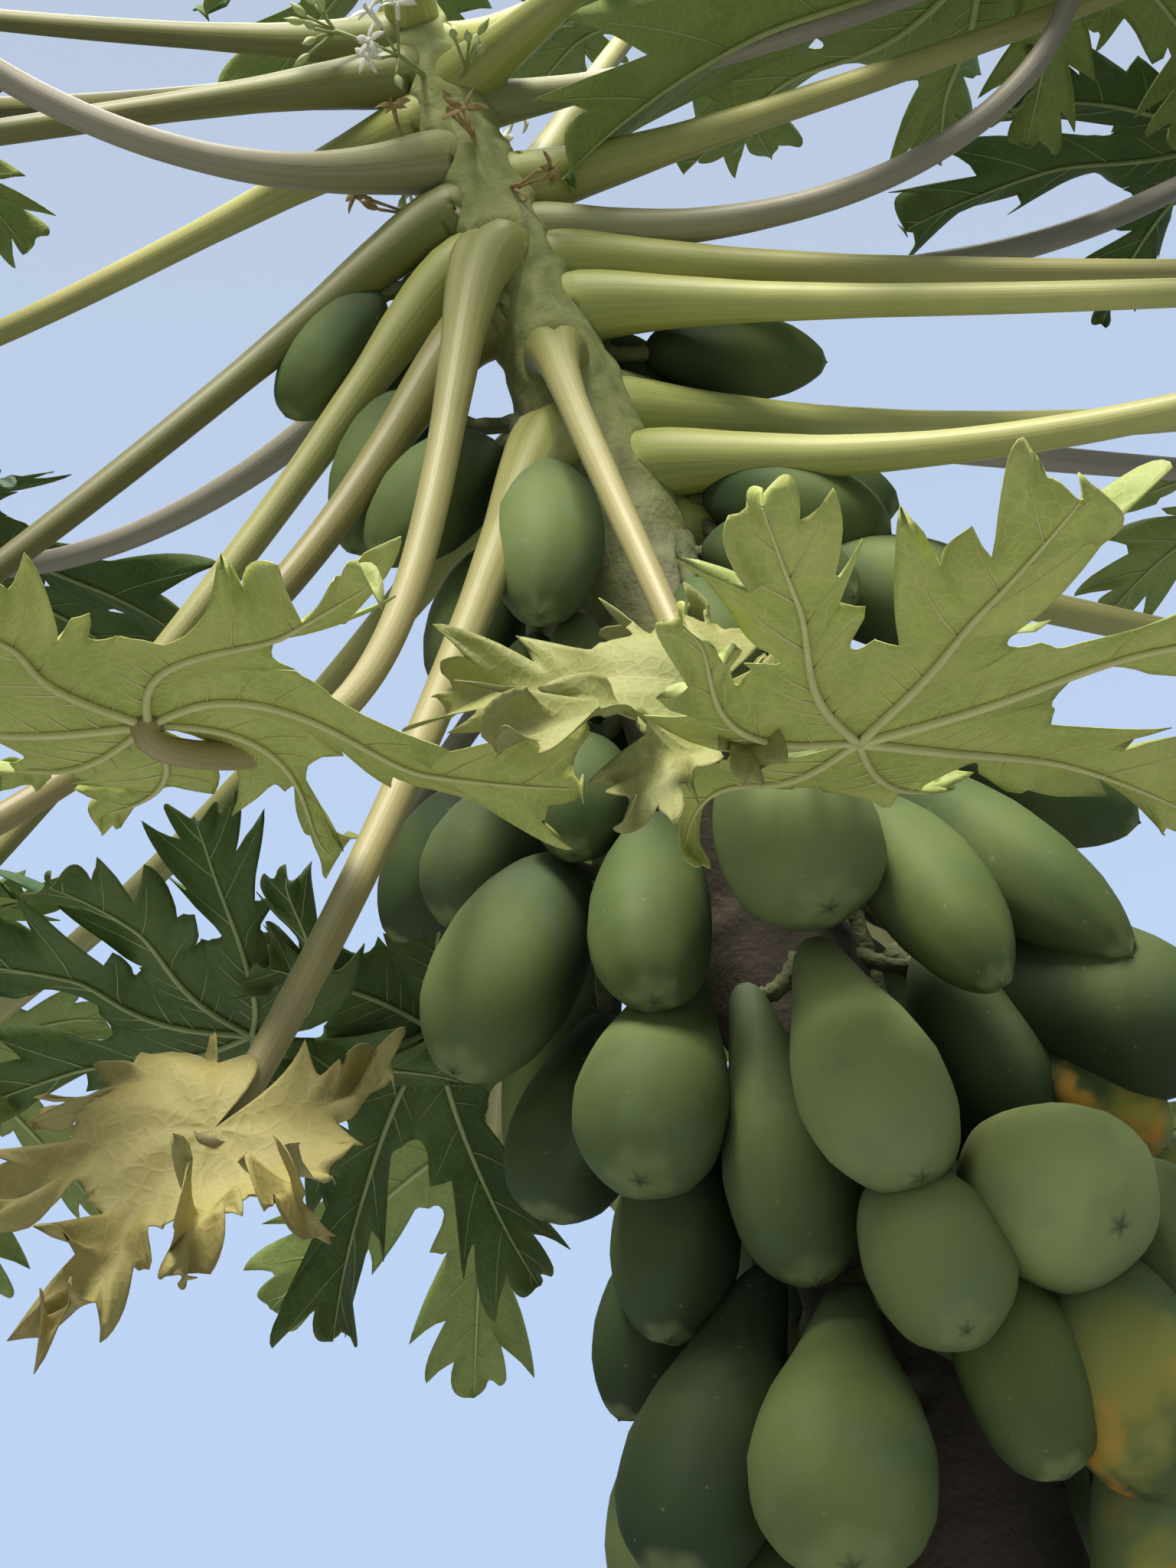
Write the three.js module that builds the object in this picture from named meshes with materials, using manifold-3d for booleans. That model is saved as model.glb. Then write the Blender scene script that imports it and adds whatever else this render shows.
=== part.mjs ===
// Papaya tree, rooted in level ground: a leaning trunk with a growing tip, long-stalked leaves
// and close bunches of fruit. Millimetres, +Z up. The origin is the centre of the trunk's flat
// cut at ground level, and the trunk leans towards -X.
//
// A station is a distance along the trunk's centre line from the ground. A bearing is an angle
// about the trunk in degrees: 0 is +X, 90 is +Y. A rise is degrees above level.

import * as THREE from 'three';
import Module from 'manifold-3d';

const wasm = await Module();
wasm.setup();

// Trunk: the lean grows evenly from the foot to the top.
const TRUNK_LENGTH = 3780;
const LEAN_AT_FOOT = 5;
const LEAN_AT_TOP = 17;
const LEAN_GROWS_OVER = 3850;
const TRUNK_SIDES = 16;
// [station, radius] pairs, from the root flare to the top.
const TRUNK_GIRTH = [
  [0, 158], [60, 138], [180, 122], [500, 108], [1100, 94], [1700, 83], [2300, 72],
  [2800, 62], [3100, 53], [3400, 42], [3640, 32], [3780, 24], [3830, 18], [3900, 3],
];
const ROOT_RIBS = 5;
const ROOT_RIB_DEPTH = 0.07;
const ROOT_RIB_FADE = 130;

// Growing tip above the trunk, with its young leaves fused on.
const TIP_STATIONS = [3780.4, 3800, 3830, 3860, 3885];
const TIP_POINT = 6;
const TIP_SIDES = 8;
// Young leaves: [station, bearing, rise, length of stalk, reach of blade].
const YOUNG_LEAVES = [
  [3862, -60, 68, 260, 140],
  [3844, 90, 60, 360, 190],
  [3822, 200, 58, 420, 200],
];

// Leaf stalks.
const STALK_SIDES = 5;
// The bends of a stalk are worked out in this many steps, and it has a section at these ones.
const STALK_STEPS = 48;
const STALK_STOPS = [0, 4, 14, 26, 39, 48];
// [share of the length, radius] pairs of a full-length stalk: a swollen foot, then a slow taper.
const STALK_GIRTH = [
  [0, 33], [0.04, 31], [0.1, 25], [0.2, 18.6], [0.32, 15.2], [0.6, 13], [0.85, 11.5], [1, 10],
];
const FULL_STALK = 900;
const STALK_SUNK = 16;
// A steep stalk still leaves the trunk outwards, and turns to its own rise over this length.
const SOCKET_LENGTH = 38;
const SOCKET_SHARE = 0.3;

// Leaf blades: lobes round the stalk's end, [angle from the main lobe, share of the reach].
const LOBES = [[-146, 0.6], [-96, 0.8], [-48, 0.94], [0, 1], [48, 0.94], [96, 0.8], [146, 0.6]];
const SHOULDER_ANGLE = 13;
const SHOULDER_REACH = 0.68;
const NOTCH_ANGLE = 24;
const NOTCH_REACH = 0.33;
const SINUS_REACH = 0.14;
const BLADE_DROOP = 0.16;
const BLADE_THICK = 8;
// The stalk's end turns into the blade's underside, or into its top where it comes from above.
const BLADE_RAISE = 18;
const FROM_ABOVE = -0.15;
const YOUNG_BLADE_RISE = 14;

// Leaves from the top down. Columns: station, bearing, rise at the foot, rise at the end,
// bend (over 1 turns late), length, turn of bearing, reach of blade, blade's turn of bearing,
// blade's rise, blade's roll.
const LEAVES = [
  [3755, -95, 34, 30, 1.3, 560, 0, 320, 0, 0, 0],
  [3745, 172, 14, 22, 1.3, 700, 0, 340, 0, 0, 0],
  [3720, 12, 42, 62, 2, 660, 0, 320, 0, 10, 0],
  [3710, 150, 22, 30, 1.3, 860, 0, 350, 0, -6, 0],
  [3690, 186, -12, -14, 1.3, 800, 0, 360, 0, -18, 0],
  [3675, 95, 60, 56, 1.3, 760, 0, 360, 0, 25, 0],
  [3660, -42, 6, 10, 1.3, 760, 0, 360, 0, -6, 0],
  [3640, 160, -14, 24, 4, 820, 0, 360, 0, 2, 0],
  [3640, 0, 10, 25, 1.3, 550, 0, 480, 184, -26, 0],
  [3570, 200, -40, 66, 0.75, 800, 0, 360, 0, -6, 0],
  [3545, 66, 58, 54, 1.3, 840, 0, 360, 0, 25, 0],
  [3530, 0, 18, 24, 1.3, 840, 0, 370, 0, -8, 0],
  [3510, 180, -46, -38, 1.3, 880, 0, 370, 0, -42, 0],
  [3465, -4, -8, 90, 1.5, 730, 0, 370, 0, -10, 0],
  [3455, 148, -40, 35, 1, 800, 0, 370, -150, -6, 0],
  [3450, 176, -60, -48, 1.3, 900, 0, 370, 0, -50, 0],
  [3430, 242, -76, -2, 3.6, 920, -20, 370, 6, -4, 0],
  [3425, -4, -10, -4, 1.3, 900, 0, 370, 0, -8, 0],
  [3420, 26, 15, 45, 1.3, 1000, 0, 380, 190, -12, 0],
  [3400, 80, -14, -4, 1.3, 900, 0, 370, 0, -10, 0],
  [3370, 196, -66, -24, 1.7, 920, 0, 370, 0, -30, 0],
  [3365, -14, -15, -9, 1.3, 920, 0, 370, 0, -8, 0],
  [3290, -95, -48, -69, 0.7, 700, 40, 250, -104, -38, -80],
  [3280, 98, -26, -20, 1.3, 920, 0, 370, 0, -24, 0],
  [3270, 30, 10, 15, 1.3, 920, 0, 370, 0, -8, 0],
  [3250, 14, 2, 20, 1.3, 920, 0, 370, 0, -8, 0],
  [3245, 142, -34, -10, 1.3, 940, 0, 370, 0, -14, 0],
  [3205, 238, -67, -57, 1.3, 980, 0, 250, -40, -45, -75],
  [3165, -24, -21, 14, 1.3, 900, 0, 370, 0, -8, 0],
  [2940, -66, -45, -30, 1.3, 540, -30, 380, 77, 4, 8],
  [3110, 10, -12, -11, 1.3, 900, 0, 370, 0, -16, 0],
  [3100, 62, -24, -16, 1.3, 900, 0, 360, 0, -20, 0],
  [3090, 150, -48, -39, 1.3, 500, 0, 340, 36, 6, 0],
  [2980, 130, -42, -38, 1.3, 380, 0, 300, 10, -46, 0],
];

// Fruit, from the stem end to the tip: [share of the length, share of the half width].
const FRUIT_SIDES = 7;
const FRUIT_PROFILE = [[0, 0.36], [0.36, 0.93], [0.76, 0.94]];
const FRUIT_STALK_SIDES = 3;
const FRUIT_STALK_RADIUS = 9;
const FRUIT_STALK_SUNK = 28;
const STALK_ROOT_SUNK = 14;
// A bunch's stalk forks partway from the trunk to its first fruit.
const FORK_AT = 0.4;

// Bunches on the side that the lean shows. Each fruit: station and bearing of its middle,
// distance of that from the trunk's centre line, tilt of the tip outwards, length, width.
const FRONT_BUNCHES = [
  { root: [3500, 146], fruits: [[3405, 175, 190, 49, 160, 80], [3370, 155, 150, 40, 150, 75]] },
  { root: [3260, -165], fruits: [
    [3170, -165, 160, 52, 180, 95], [3060, 180, 150, 30, 160, 90], [2960, -165, 130, 20, 110, 65],
    [3250, 178, 185, 32, 180, 90]] },
  { root: [3180, -150], fruits: [
    [3050, -128, 140, 28, 220, 100], [2940, -135, 120, 10, 100, 60], [2810, -143, 160, 24, 130, 86]] },
  { root: [3350, 30], fruits: [[3300, 15, 180, 78, 180, 85], [3320, 42, 120, 50, 140, 80]] },
  { root: [3150, -4], fruits: [
    [3060, -14, 150, 50, 180, 90], [2965, -10, 190, 56, 200, 105], [2785, 8, 260, 55, 215, 96],
    [3130, 8, 170, 62, 200, 95]] },
  { root: [3080, -38], fruits: [
    [2980, -38, 130, 40, 170, 90], [2900, -83, 140, 15, 130, 70], [2665, -89, 225, 14, 175, 126]] },
  { root: [2740, -68], fruits: [
    [2605, -63, 205, 21, 235, 92], [2650, -31, 205, 29, 285, 94], [2530, -25, 130, 5, 190, 104]] },
  { root: [2940, 180], fruits: [
    [2842, 177, 195, 44, 165, 102], [2885, 160, 250, 52, 165, 92], [2585, -185, 195, 32, 185, 106]] },
  { root: [2790, -165], fruits: [
    [2695, -164, 225, 40, 230, 120], [2670, -126, 175, 28, 220, 98], [2540, -137, 185, 33, 235, 120]] },
  { root: [2650, -18], fruits: [
    [2530, -18, 225, 42, 230, 130], [2475, -12, 195, 30, 165, 92], [2385, 5, 215, 2, 190, 110]] },
  { root: [2630, -91], fruits: [
    [2478, -90, 203, 22, 265, 112], [2478, -120, 125, 11, 275, 104], [2318, -91, 200, 35, 190, 108]] },
  { root: [2570, -160], fruits: [
    [2440, -162, 160, 22, 185, 102], [2400, -183, 180, 36, 175, 96], [2280, -155, 180, 34, 280, 122]] },
  { root: [2440, -40], fruits: [
    [2345, -64, 220, 45, 170, 135], [2300, -34, 215, 25, 210, 130], [2215, -51, 190, 5, 215, 124]] },
  { root: [2370, -119], fruits: [
    [2235, -121, 160, 32, 275, 136], [2240, -76, 165, 10, 190, 98], [2080, -45, 155, 0, 215, 126],
    [2125, -172, 160, 20, 215, 122]] },
];
// The far side repeats these, [bunch, turn of bearing, drop], so the tree is full all round.
const BACK_BUNCHES = [
  [2, 178, 40], [5, 176, 50], [6, 184, -30], [8, 184, 30], [10, 192, -20], [11, 186, -30],
  [12, 188, 40], [13, 170, -10],
];

const CLEARANCE = 0.3;
const SURFACE = {
  trunk: { color: 0x7d6f5a, roughness: 0.9, metalness: 0 },
  tip: { color: 0x9fae6a, roughness: 0.6, metalness: 0 },
  leaf: { color: 0x9aa05a, roughness: 0.55, metalness: 0 },
  fruit: { color: 0x5f7a55, roughness: 0.5, metalness: 0 },
};

const radians = (degrees) => degrees * Math.PI / 180;

// Reads a value off a list of [key, value] pairs, evenly between them.
function along(pairs, key) {
  const next = pairs.findIndex((pair) => pair[0] >= key);
  if (next === 0) return pairs[0][1];
  if (next < 0) return pairs[pairs.length - 1][1];
  const [k0, v0] = pairs[next - 1];
  const [k1, v1] = pairs[next];
  return v0 + (v1 - v0) * (key - k0) / (k1 - k0);
}

function direction(bearing, rise) {
  const level = Math.cos(radians(rise));
  return new THREE.Vector3(
    Math.cos(radians(bearing)) * level, Math.sin(radians(bearing)) * level, Math.sin(radians(rise)));
}

const lean = (station) => radians(
  LEAN_AT_FOOT + (LEAN_AT_TOP - LEAN_AT_FOOT) * station / LEAN_GROWS_OVER);

// The trunk's centre line is the exact sum of its steps, as its lean grows evenly.
function trunkPoint(station) {
  const foot = lean(0);
  const growth = (lean(LEAN_GROWS_OVER) - foot) / LEAN_GROWS_OVER;
  const here = lean(station);
  return new THREE.Vector3(
    (Math.cos(here) - Math.cos(foot)) / growth, 0, (Math.sin(here) - Math.sin(foot)) / growth);
}

const trunkAxis = (station) => new THREE.Vector3(-Math.sin(lean(station)), 0, Math.cos(lean(station)));

// Points straight out of the trunk at a bearing.
function outwards(station, bearing) {
  const east = new THREE.Vector3(Math.cos(lean(station)), 0, Math.sin(lean(station)));
  return east.multiplyScalar(Math.cos(radians(bearing))).setY(Math.sin(radians(bearing)));
}

function around(station, bearing, distance) {
  return trunkPoint(station).addScaledVector(outwards(station, bearing), distance);
}

// A ring of points about a centre, turning from side towards lift, which are at right angles.
function ring(centre, side, lift, radius, sides) {
  return Array.from({ length: sides }, (_, i) => {
    const angle = 2 * Math.PI * i / sides;
    const reach = typeof radius === 'function' ? radius(angle) : radius;
    return centre.clone()
      .addScaledVector(side, reach * Math.cos(angle))
      .addScaledVector(lift, reach * Math.sin(angle));
  });
}

function solidFrom(points, triangles) {
  return new wasm.Manifold(new wasm.Mesh({
    numProp: 3,
    vertProperties: new Float32Array(points.flatMap((p) => [p.x, p.y, p.z])),
    triVerts: new Uint32Array(triangles.flat()),
  }));
}

// Closed skin over rings of equal count. The first ring is closed flat, and the last one flat
// or to a tip.
function loft(rings, tip = null) {
  const sides = rings[0].length;
  const points = rings.flat();
  const triangles = [];
  for (let i = 0; i + 1 < rings.length; i += 1) {
    const low = i * sides;
    const high = low + sides;
    for (let j = 0; j < sides; j += 1) {
      const k = (j + 1) % sides;
      triangles.push([low + j, low + k, high + k], [low + j, high + k, high + j]);
    }
  }
  const top = points.length - sides;
  for (let j = 1; j + 1 < sides; j += 1) {
    triangles.push([0, j + 1, j]);
    if (!tip) triangles.push([top, top + j, top + j + 1]);
  }
  if (tip) {
    for (let j = 0; j < sides; j += 1) {
      triangles.push([points.length, top + j, top + (j + 1) % sides]);
    }
    points.push(tip);
  }
  return solidFrom(points, triangles);
}

function makeTrunk(grow) {
  const stations = TRUNK_GIRTH.map((pair) => pair[0]).filter((station) => station < TRUNK_LENGTH);
  stations.push(TRUNK_LENGTH);
  const rings = stations.map((station) => {
    const ribs = (angle) => 1 + ROOT_RIB_DEPTH * Math.exp(-station / ROOT_RIB_FADE)
      * Math.cos(ROOT_RIBS * angle);
    const radius = (angle) => along(TRUNK_GIRTH, station) * ribs(angle) + grow;
    const east = outwards(station, 0);
    return ring(trunkPoint(station), east, new THREE.Vector3(0, 1, 0), radius, TRUNK_SIDES);
  });
  rings[0].forEach((p) => p.setZ(0));
  rings[rings.length - 1].forEach((p) => p.addScaledVector(trunkAxis(TRUNK_LENGTH), grow));
  return loft(rings);
}

// Centre points of a leaf stalk, with the frame that its sections turn in.
function stalkPath(leaf) {
  const [station, bearing, riseFoot, riseEnd, bend, length, turn] = leaf;
  const step = length / STALK_STEPS;
  const centre = around(station, bearing, along(TRUNK_GIRTH, station) - STALK_SUNK);
  const path = [];
  for (let i = 0; i <= STALK_STEPS; i += 1) {
    const share = (i / STALK_STEPS) ** bend;
    const socket = 1 - (1 - SOCKET_SHARE) * Math.exp(-i * step / SOCKET_LENGTH);
    const heading = direction(bearing + turn * share, (riseFoot + (riseEnd - riseFoot) * share) * socket);
    const side = direction(bearing + turn * share + 90, 0);
    path.push({ centre: centre.clone(), heading, side, lift: heading.clone().cross(side) });
    centre.addScaledVector(heading, step);
  }
  return path;
}

// The sections of a leaf's stalk, and its lobed blade, whose lobes droop by the square of their
// reach. The last section is a collar in the blade's face.
function leafShape(leaf, grow) {
  const [, bearing, , , , length, turn, reach, bladeTurn, rise, roll] = leaf;
  const size = Math.sqrt(length / FULL_STALK);
  const radius = (share) => along(STALK_GIRTH, share) * size + grow;
  const path = stalkPath(leaf);
  const rings = STALK_STOPS.slice(0, -1).map((i) => ring(
    path[i].centre, path[i].side, path[i].lift, radius(i / STALK_STEPS), STALK_SIDES));

  const facing = bearing + turn + bladeTurn;
  const forward = direction(facing, rise);
  const level = direction(facing + 90, 0);
  const face = forward.clone().cross(level);
  const side = level.multiplyScalar(Math.cos(radians(roll))).addScaledVector(face, Math.sin(radians(roll)));
  const normal = forward.clone().cross(side);
  const end = path[STALK_STEPS];
  const under = end.heading.dot(normal) > FROM_ABOVE ? 1 : -1;
  const hub = end.centre.clone().addScaledVector(normal, under * BLADE_RAISE);
  const place = (angle, distance) => hub.clone()
    .addScaledVector(forward, Math.cos(radians(angle)) * distance)
    .addScaledVector(side, Math.sin(radians(angle)) * distance)
    .addScaledVector(normal, -BLADE_DROOP * distance * distance / reach);
  const outline = [];
  for (const [angle, share] of LOBES) {
    const lobe = reach * share + grow;
    outline.push(place(angle - NOTCH_ANGLE, reach * NOTCH_REACH + grow));
    outline.push(place(angle - SHOULDER_ANGLE, lobe * SHOULDER_REACH));
    outline.push(place(angle, lobe));
    outline.push(place(angle + SHOULDER_ANGLE, lobe * SHOULDER_REACH));
  }
  outline.push(place(LOBES[LOBES.length - 1][0] + NOTCH_ANGLE, reach * NOTCH_REACH + grow));
  outline.push(place(180, reach * SINUS_REACH + grow));

  const half = BLADE_THICK / 2 + grow;
  const across = end.side.clone().addScaledVector(normal, -end.side.dot(normal)).normalize();
  const ahead = normal.clone().cross(across).multiplyScalar(under);
  const collarCentre = hub.clone().addScaledVector(normal, -under * half);
  rings.push(ring(collarCentre, across, ahead, radius(1), STALK_SIDES));
  const shift = (p, amount) => p.clone().addScaledVector(normal, amount * half);
  return {
    rings,
    under,
    hub: shift(hub, under),
    outline: outline.map((p) => shift(p, under)),
    back: outline.map((p) => shift(p, -under)),
    bearingOf: (p) => Math.atan2(p.clone().sub(hub).dot(side), p.clone().sub(hub).dot(forward)),
  };
}

const makeStalk = (leaf, grow) => loft(leafShape(leaf, grow).rings);

// Turns triangles inside out where the sign is negative.
const facing = (triangles, sign) => (sign > 0 ? triangles : triangles.map(([a, b, c]) => [a, c, b]));

// One skin over stalk and blade: the face that the stalk meets runs from its collar to the outline.
function makeLeaf(leaf, grow) {
  const { rings, hub, outline, back, under, bearingOf } = leafShape(leaf, grow);
  const count = outline.length;
  const stem = rings.flat();
  const collar = stem.length - STALK_SIDES;
  const top = stem.length;
  const low = top + count;
  const points = [...stem, ...outline, ...back, hub];
  const triangles = [];
  for (let i = 0; i < collar; i += STALK_SIDES) {
    for (let j = 0; j < STALK_SIDES; j += 1) {
      const k = (j + 1) % STALK_SIDES;
      triangles.push([i + j, i + k, i + STALK_SIDES + k], [i + j, i + STALK_SIDES + k, i + STALK_SIDES + j]);
    }
  }
  for (let j = 1; j + 1 < STALK_SIDES; j += 1) triangles.push([0, j + 1, j]);
  const blade = [];
  for (let i = 0; i < count; i += 1) {
    const next = (i + 1) % count;
    blade.push([points.length - 1, top + i, top + next]);
    blade.push([top + i, low + i, low + next], [top + i, low + next, top + next]);
  }
  triangles.push(...facing(blade, under));
  triangles.push(...facing(between(points, collar, low, count, bearingOf), under));
  return solidFrom(points, triangles);
}

// Triangles between the collar and the outline round it, taken by bearing about the hub.
function between(points, collar, low, count, bearingOf) {
  const turned = (list) => list.map((index) => [bearingOf(points[index]), index])
    .sort((a, b) => a[0] - b[0]);
  const inner = turned(Array.from({ length: STALK_SIDES }, (_, i) => collar + i));
  const outer = turned(Array.from({ length: count }, (_, i) => low + i));
  const triangles = [];
  let i = 0;
  let j = 0;
  const after = (list, k) => list[(k + 1) % list.length][0] + (k + 1 >= list.length ? 2 * Math.PI : 0);
  while (i < inner.length || j < outer.length) {
    const here = inner[i % inner.length][1];
    const rim = outer[j % outer.length][1];
    if (j < outer.length && (i >= inner.length || after(outer, j) <= after(inner, i))) {
      triangles.push([here, outer[(j + 1) % outer.length][1], rim]);
      j += 1;
    } else {
      triangles.push([here, inner[(i + 1) % inner.length][1], rim]);
      i += 1;
    }
  }
  return triangles;
}

function makeTip() {
  const rings = TIP_STATIONS.map((station) => ring(
    trunkPoint(station), outwards(station, 0), new THREE.Vector3(0, 1, 0),
    along(TRUNK_GIRTH, station), TIP_SIDES));
  const end = trunkPoint(TIP_STATIONS[TIP_STATIONS.length - 1] + TIP_POINT);
  return youngLeaves.reduce((sum, leaf) => sum.add(makeLeaf(leaf, 0)), loft(rings, end));
}

function fruitFrame([station, bearing, distance, tilt, length]) {
  const out = outwards(station, bearing);
  const axis = trunkAxis(station).multiplyScalar(-Math.cos(radians(tilt)))
    .addScaledVector(out, Math.sin(radians(tilt)));
  const centre = around(station, bearing, distance);
  const side = trunkAxis(station).cross(out);
  const stem = centre.clone().addScaledVector(axis, -length / 2);
  return { axis, centre, side, lift: axis.clone().cross(side), stem };
}

function makeFruit(fruit, grow) {
  const [, , , , length, width] = fruit;
  const { axis, centre, side, lift } = fruitFrame(fruit);
  const rings = FRUIT_PROFILE.map(([share, girth]) => ring(
    centre.clone().addScaledVector(axis, (share - 0.5) * length),
    side, lift, girth * width / 2 + grow, FRUIT_SIDES));
  const tip = centre.clone().addScaledVector(axis, length / 2 + grow);
  rings[0].forEach((p) => p.addScaledVector(axis, -grow));
  return loft(rings, tip);
}

function makeRod(from, to, radius) {
  const heading = to.clone().sub(from).normalize();
  const side = new THREE.Vector3(0, 1, 0).cross(heading).normalize();
  const lift = heading.clone().cross(side);
  return loft([from, to].map((p) => ring(p, side, lift, radius, FRUIT_STALK_SIDES)));
}

// The rods of a bunch: one from the trunk to the first fruit, and one off it to each other fruit.
function makeBunchStalks([station, bearing], fruits, grow) {
  const stems = fruits.map((fruit) => fruitFrame(fruit).stem);
  const root = around(station, bearing, along(TRUNK_GIRTH, station) - STALK_ROOT_SUNK);
  const fork = root.clone().lerp(stems[0], FORK_AT);
  return stems.map((stem, i) => {
    const from = i === 0 ? root : fork;
    const heading = stem.clone().sub(from).normalize();
    return makeRod(from, stem.addScaledVector(heading, FRUIT_STALK_SUNK), FRUIT_STALK_RADIUS + grow);
  });
}

const volume = (solid) => solid.volume();

function boxesMeet(a, b) {
  const p = a.boundingBox();
  const q = b.boundingBox();
  return [0, 1, 2].every((i) => p.min[i] < q.max[i] && q.min[i] < p.max[i]);
}

// Takes grown neighbours out of a solid and keeps the largest piece that is left.
function clearOf(solid, neighbours) {
  const cut = neighbours.filter((other) => boxesMeet(solid, other))
    .reduce((rest, other) => rest.subtract(other), solid);
  return largest(cut);
}

function largest(solid) {
  return solid.decompose().reduce((best, piece) => (volume(piece) > volume(best) ? piece : best));
}

// Two fruits that press on each other share a flat face halfway into their overlap.
function pressed(fruit, solid, other, otherSolid) {
  const from = fruitFrame(fruit).centre;
  const to = fruitFrame(other).centre;
  const normal = to.clone().sub(from).normalize();
  const reach = (mesh, sign) => {
    const { vertProperties: v } = mesh.getMesh();
    let most = -Infinity;
    for (let i = 0; i < v.length; i += 3) {
      most = Math.max(most, sign * (v[i] * normal.x + v[i + 1] * normal.y + v[i + 2] * normal.z));
    }
    return sign * most;
  };
  const near = reach(solid, 1);
  const far = reach(otherSolid, -1);
  if (near <= far - CLEARANCE) return solid;
  const at = (near + far) / 2 - CLEARANCE / 2;
  return solid.trimByPlane([-normal.x, -normal.y, -normal.z], -at);
}

function meshOf(solid, name, surface) {
  const { vertProperties, triVerts, numProp } = solid.getMesh();
  if (numProp !== 3) throw new Error(`${name} carries more than positions`);
  const geometry = new THREE.BufferGeometry();
  geometry.setAttribute('position', new THREE.BufferAttribute(new Float32Array(vertProperties), 3));
  geometry.setIndex(new THREE.BufferAttribute(new Uint32Array(triVerts), 1));
  geometry.computeVertexNormals();
  const mesh = new THREE.Mesh(geometry, new THREE.MeshStandardMaterial(surface));
  mesh.name = name;
  return mesh;
}

const youngLeaves = YOUNG_LEAVES.map(([station, bearing, rise, length, reach]) => [
  station, bearing, rise, rise, 1, length, 0, reach, 0, YOUNG_BLADE_RISE, 0]);
const backBunches = BACK_BUNCHES.map(([from, turn, drop]) => {
  const moved = ([station, bearing, ...rest]) => [station - drop, bearing + turn, ...rest];
  const { root, fruits } = FRONT_BUNCHES[from];
  return { root: moved(root), fruits: fruits.map(moved) };
});
const bunches = [...FRONT_BUNCHES, ...backBunches];

const trunk = makeTrunk(0);
const trunkGrown = makeTrunk(CLEARANCE);
const tip = makeTip();
const youngGrown = youngLeaves.map((leaf) => makeLeaf(leaf, CLEARANCE));
const stalksGrown = LEAVES.map((leaf) => makeStalk(leaf, CLEARANCE));
const leavesGrown = LEAVES.map((leaf) => makeLeaf(leaf, CLEARANCE));

// Fruits press on their neighbours, and give way to the leaf stalks and other bunches' rods.
const fruitSolids = bunches.map(({ fruits }) => fruits.map((fruit) => makeFruit(fruit, 0)));
const fruitsGrown = bunches.map(({ fruits }) => fruits.map((fruit) => makeFruit(fruit, CLEARANCE)));
const rodsGrown = bunches.map(({ root, fruits }) => makeBunchStalks(root, fruits, CLEARANCE));
const bunchSolids = bunches.map(({ root, fruits }, i) => {
  const whole = fruits.map((fruit, j) => {
    let solid = fruitSolids[i][j];
    bunches.forEach((others, k) => others.fruits.forEach((other, m) => {
      if (k !== i && !fruitSolids[i][j].intersect(fruitsGrown[k][m]).isEmpty()) {
        solid = pressed(fruit, solid, other, fruitSolids[k][m]);
      }
    }));
    return solid;
  });
  const rods = makeBunchStalks(root, fruits, 0);
  const otherRods = rodsGrown.flatMap((group, k) => (k === i ? [] : group));
  const earlierRods = rodsGrown.slice(0, i).flat();
  const fruitPart = whole.map((solid) => otherRods.filter((rod) => boxesMeet(solid, rod))
    .reduce((rest, rod) => rest.subtract(rod), solid));
  const rodPart = rods.map((rod) => earlierRods.filter((other) => boxesMeet(rod, other))
    .reduce((rest, other) => rest.subtract(other), rod));
  const joined = [...fruitPart, ...rodPart].reduce((sum, piece) => sum.add(piece));
  return clearOf(joined, [trunkGrown, ...stalksGrown]);
});

// Leaf stalks give way to the trunk, the tip and the stalks above them. Blades give way to those,
// to all other stalks, to the fruit and to the blades above them.
const leafSolids = LEAVES.map((leaf, i) => {
  const whole = makeLeaf(leaf, 0);
  const forBlade = [
    ...stalksGrown.slice(i + 1), ...leavesGrown.slice(0, i), ...fruitsGrown.flat(), ...rodsGrown.flat(),
  ].filter((other) => boxesMeet(whole, other)).map((other) => other.subtract(stalksGrown[i]));
  return clearOf(whole, [trunkGrown, ...youngGrown, ...stalksGrown.slice(0, i), ...forBlade]);
});

const pad = (number) => String(number).padStart(2, '0');
const tree = new THREE.Group();
tree.add(meshOf(trunk, 'trunk', SURFACE.trunk));
tree.add(meshOf(tip, 'growing_tip', SURFACE.tip));
leafSolids.forEach((solid, i) => tree.add(meshOf(solid, `leaf_${pad(i + 1)}`, SURFACE.leaf)));
bunchSolids.forEach((solid, i) => tree.add(meshOf(solid, `fruit_bunch_${pad(i + 1)}`, SURFACE.fruit)));

export default tree;
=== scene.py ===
# %% [markdown]
# # A papaya tree in Blender
#
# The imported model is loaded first, as a fixed frame in metres: +Z is up, the origin is the centre
# of the trunk's cut at ground level, and the trunk leans towards -X. Everything made here grows
# from the same rows of numbers as the solids, so each finished piece lies where its solid lies.

# %% Load the frame
import math
import bpy
import numpy as np
from mathutils import Matrix, Vector


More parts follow.
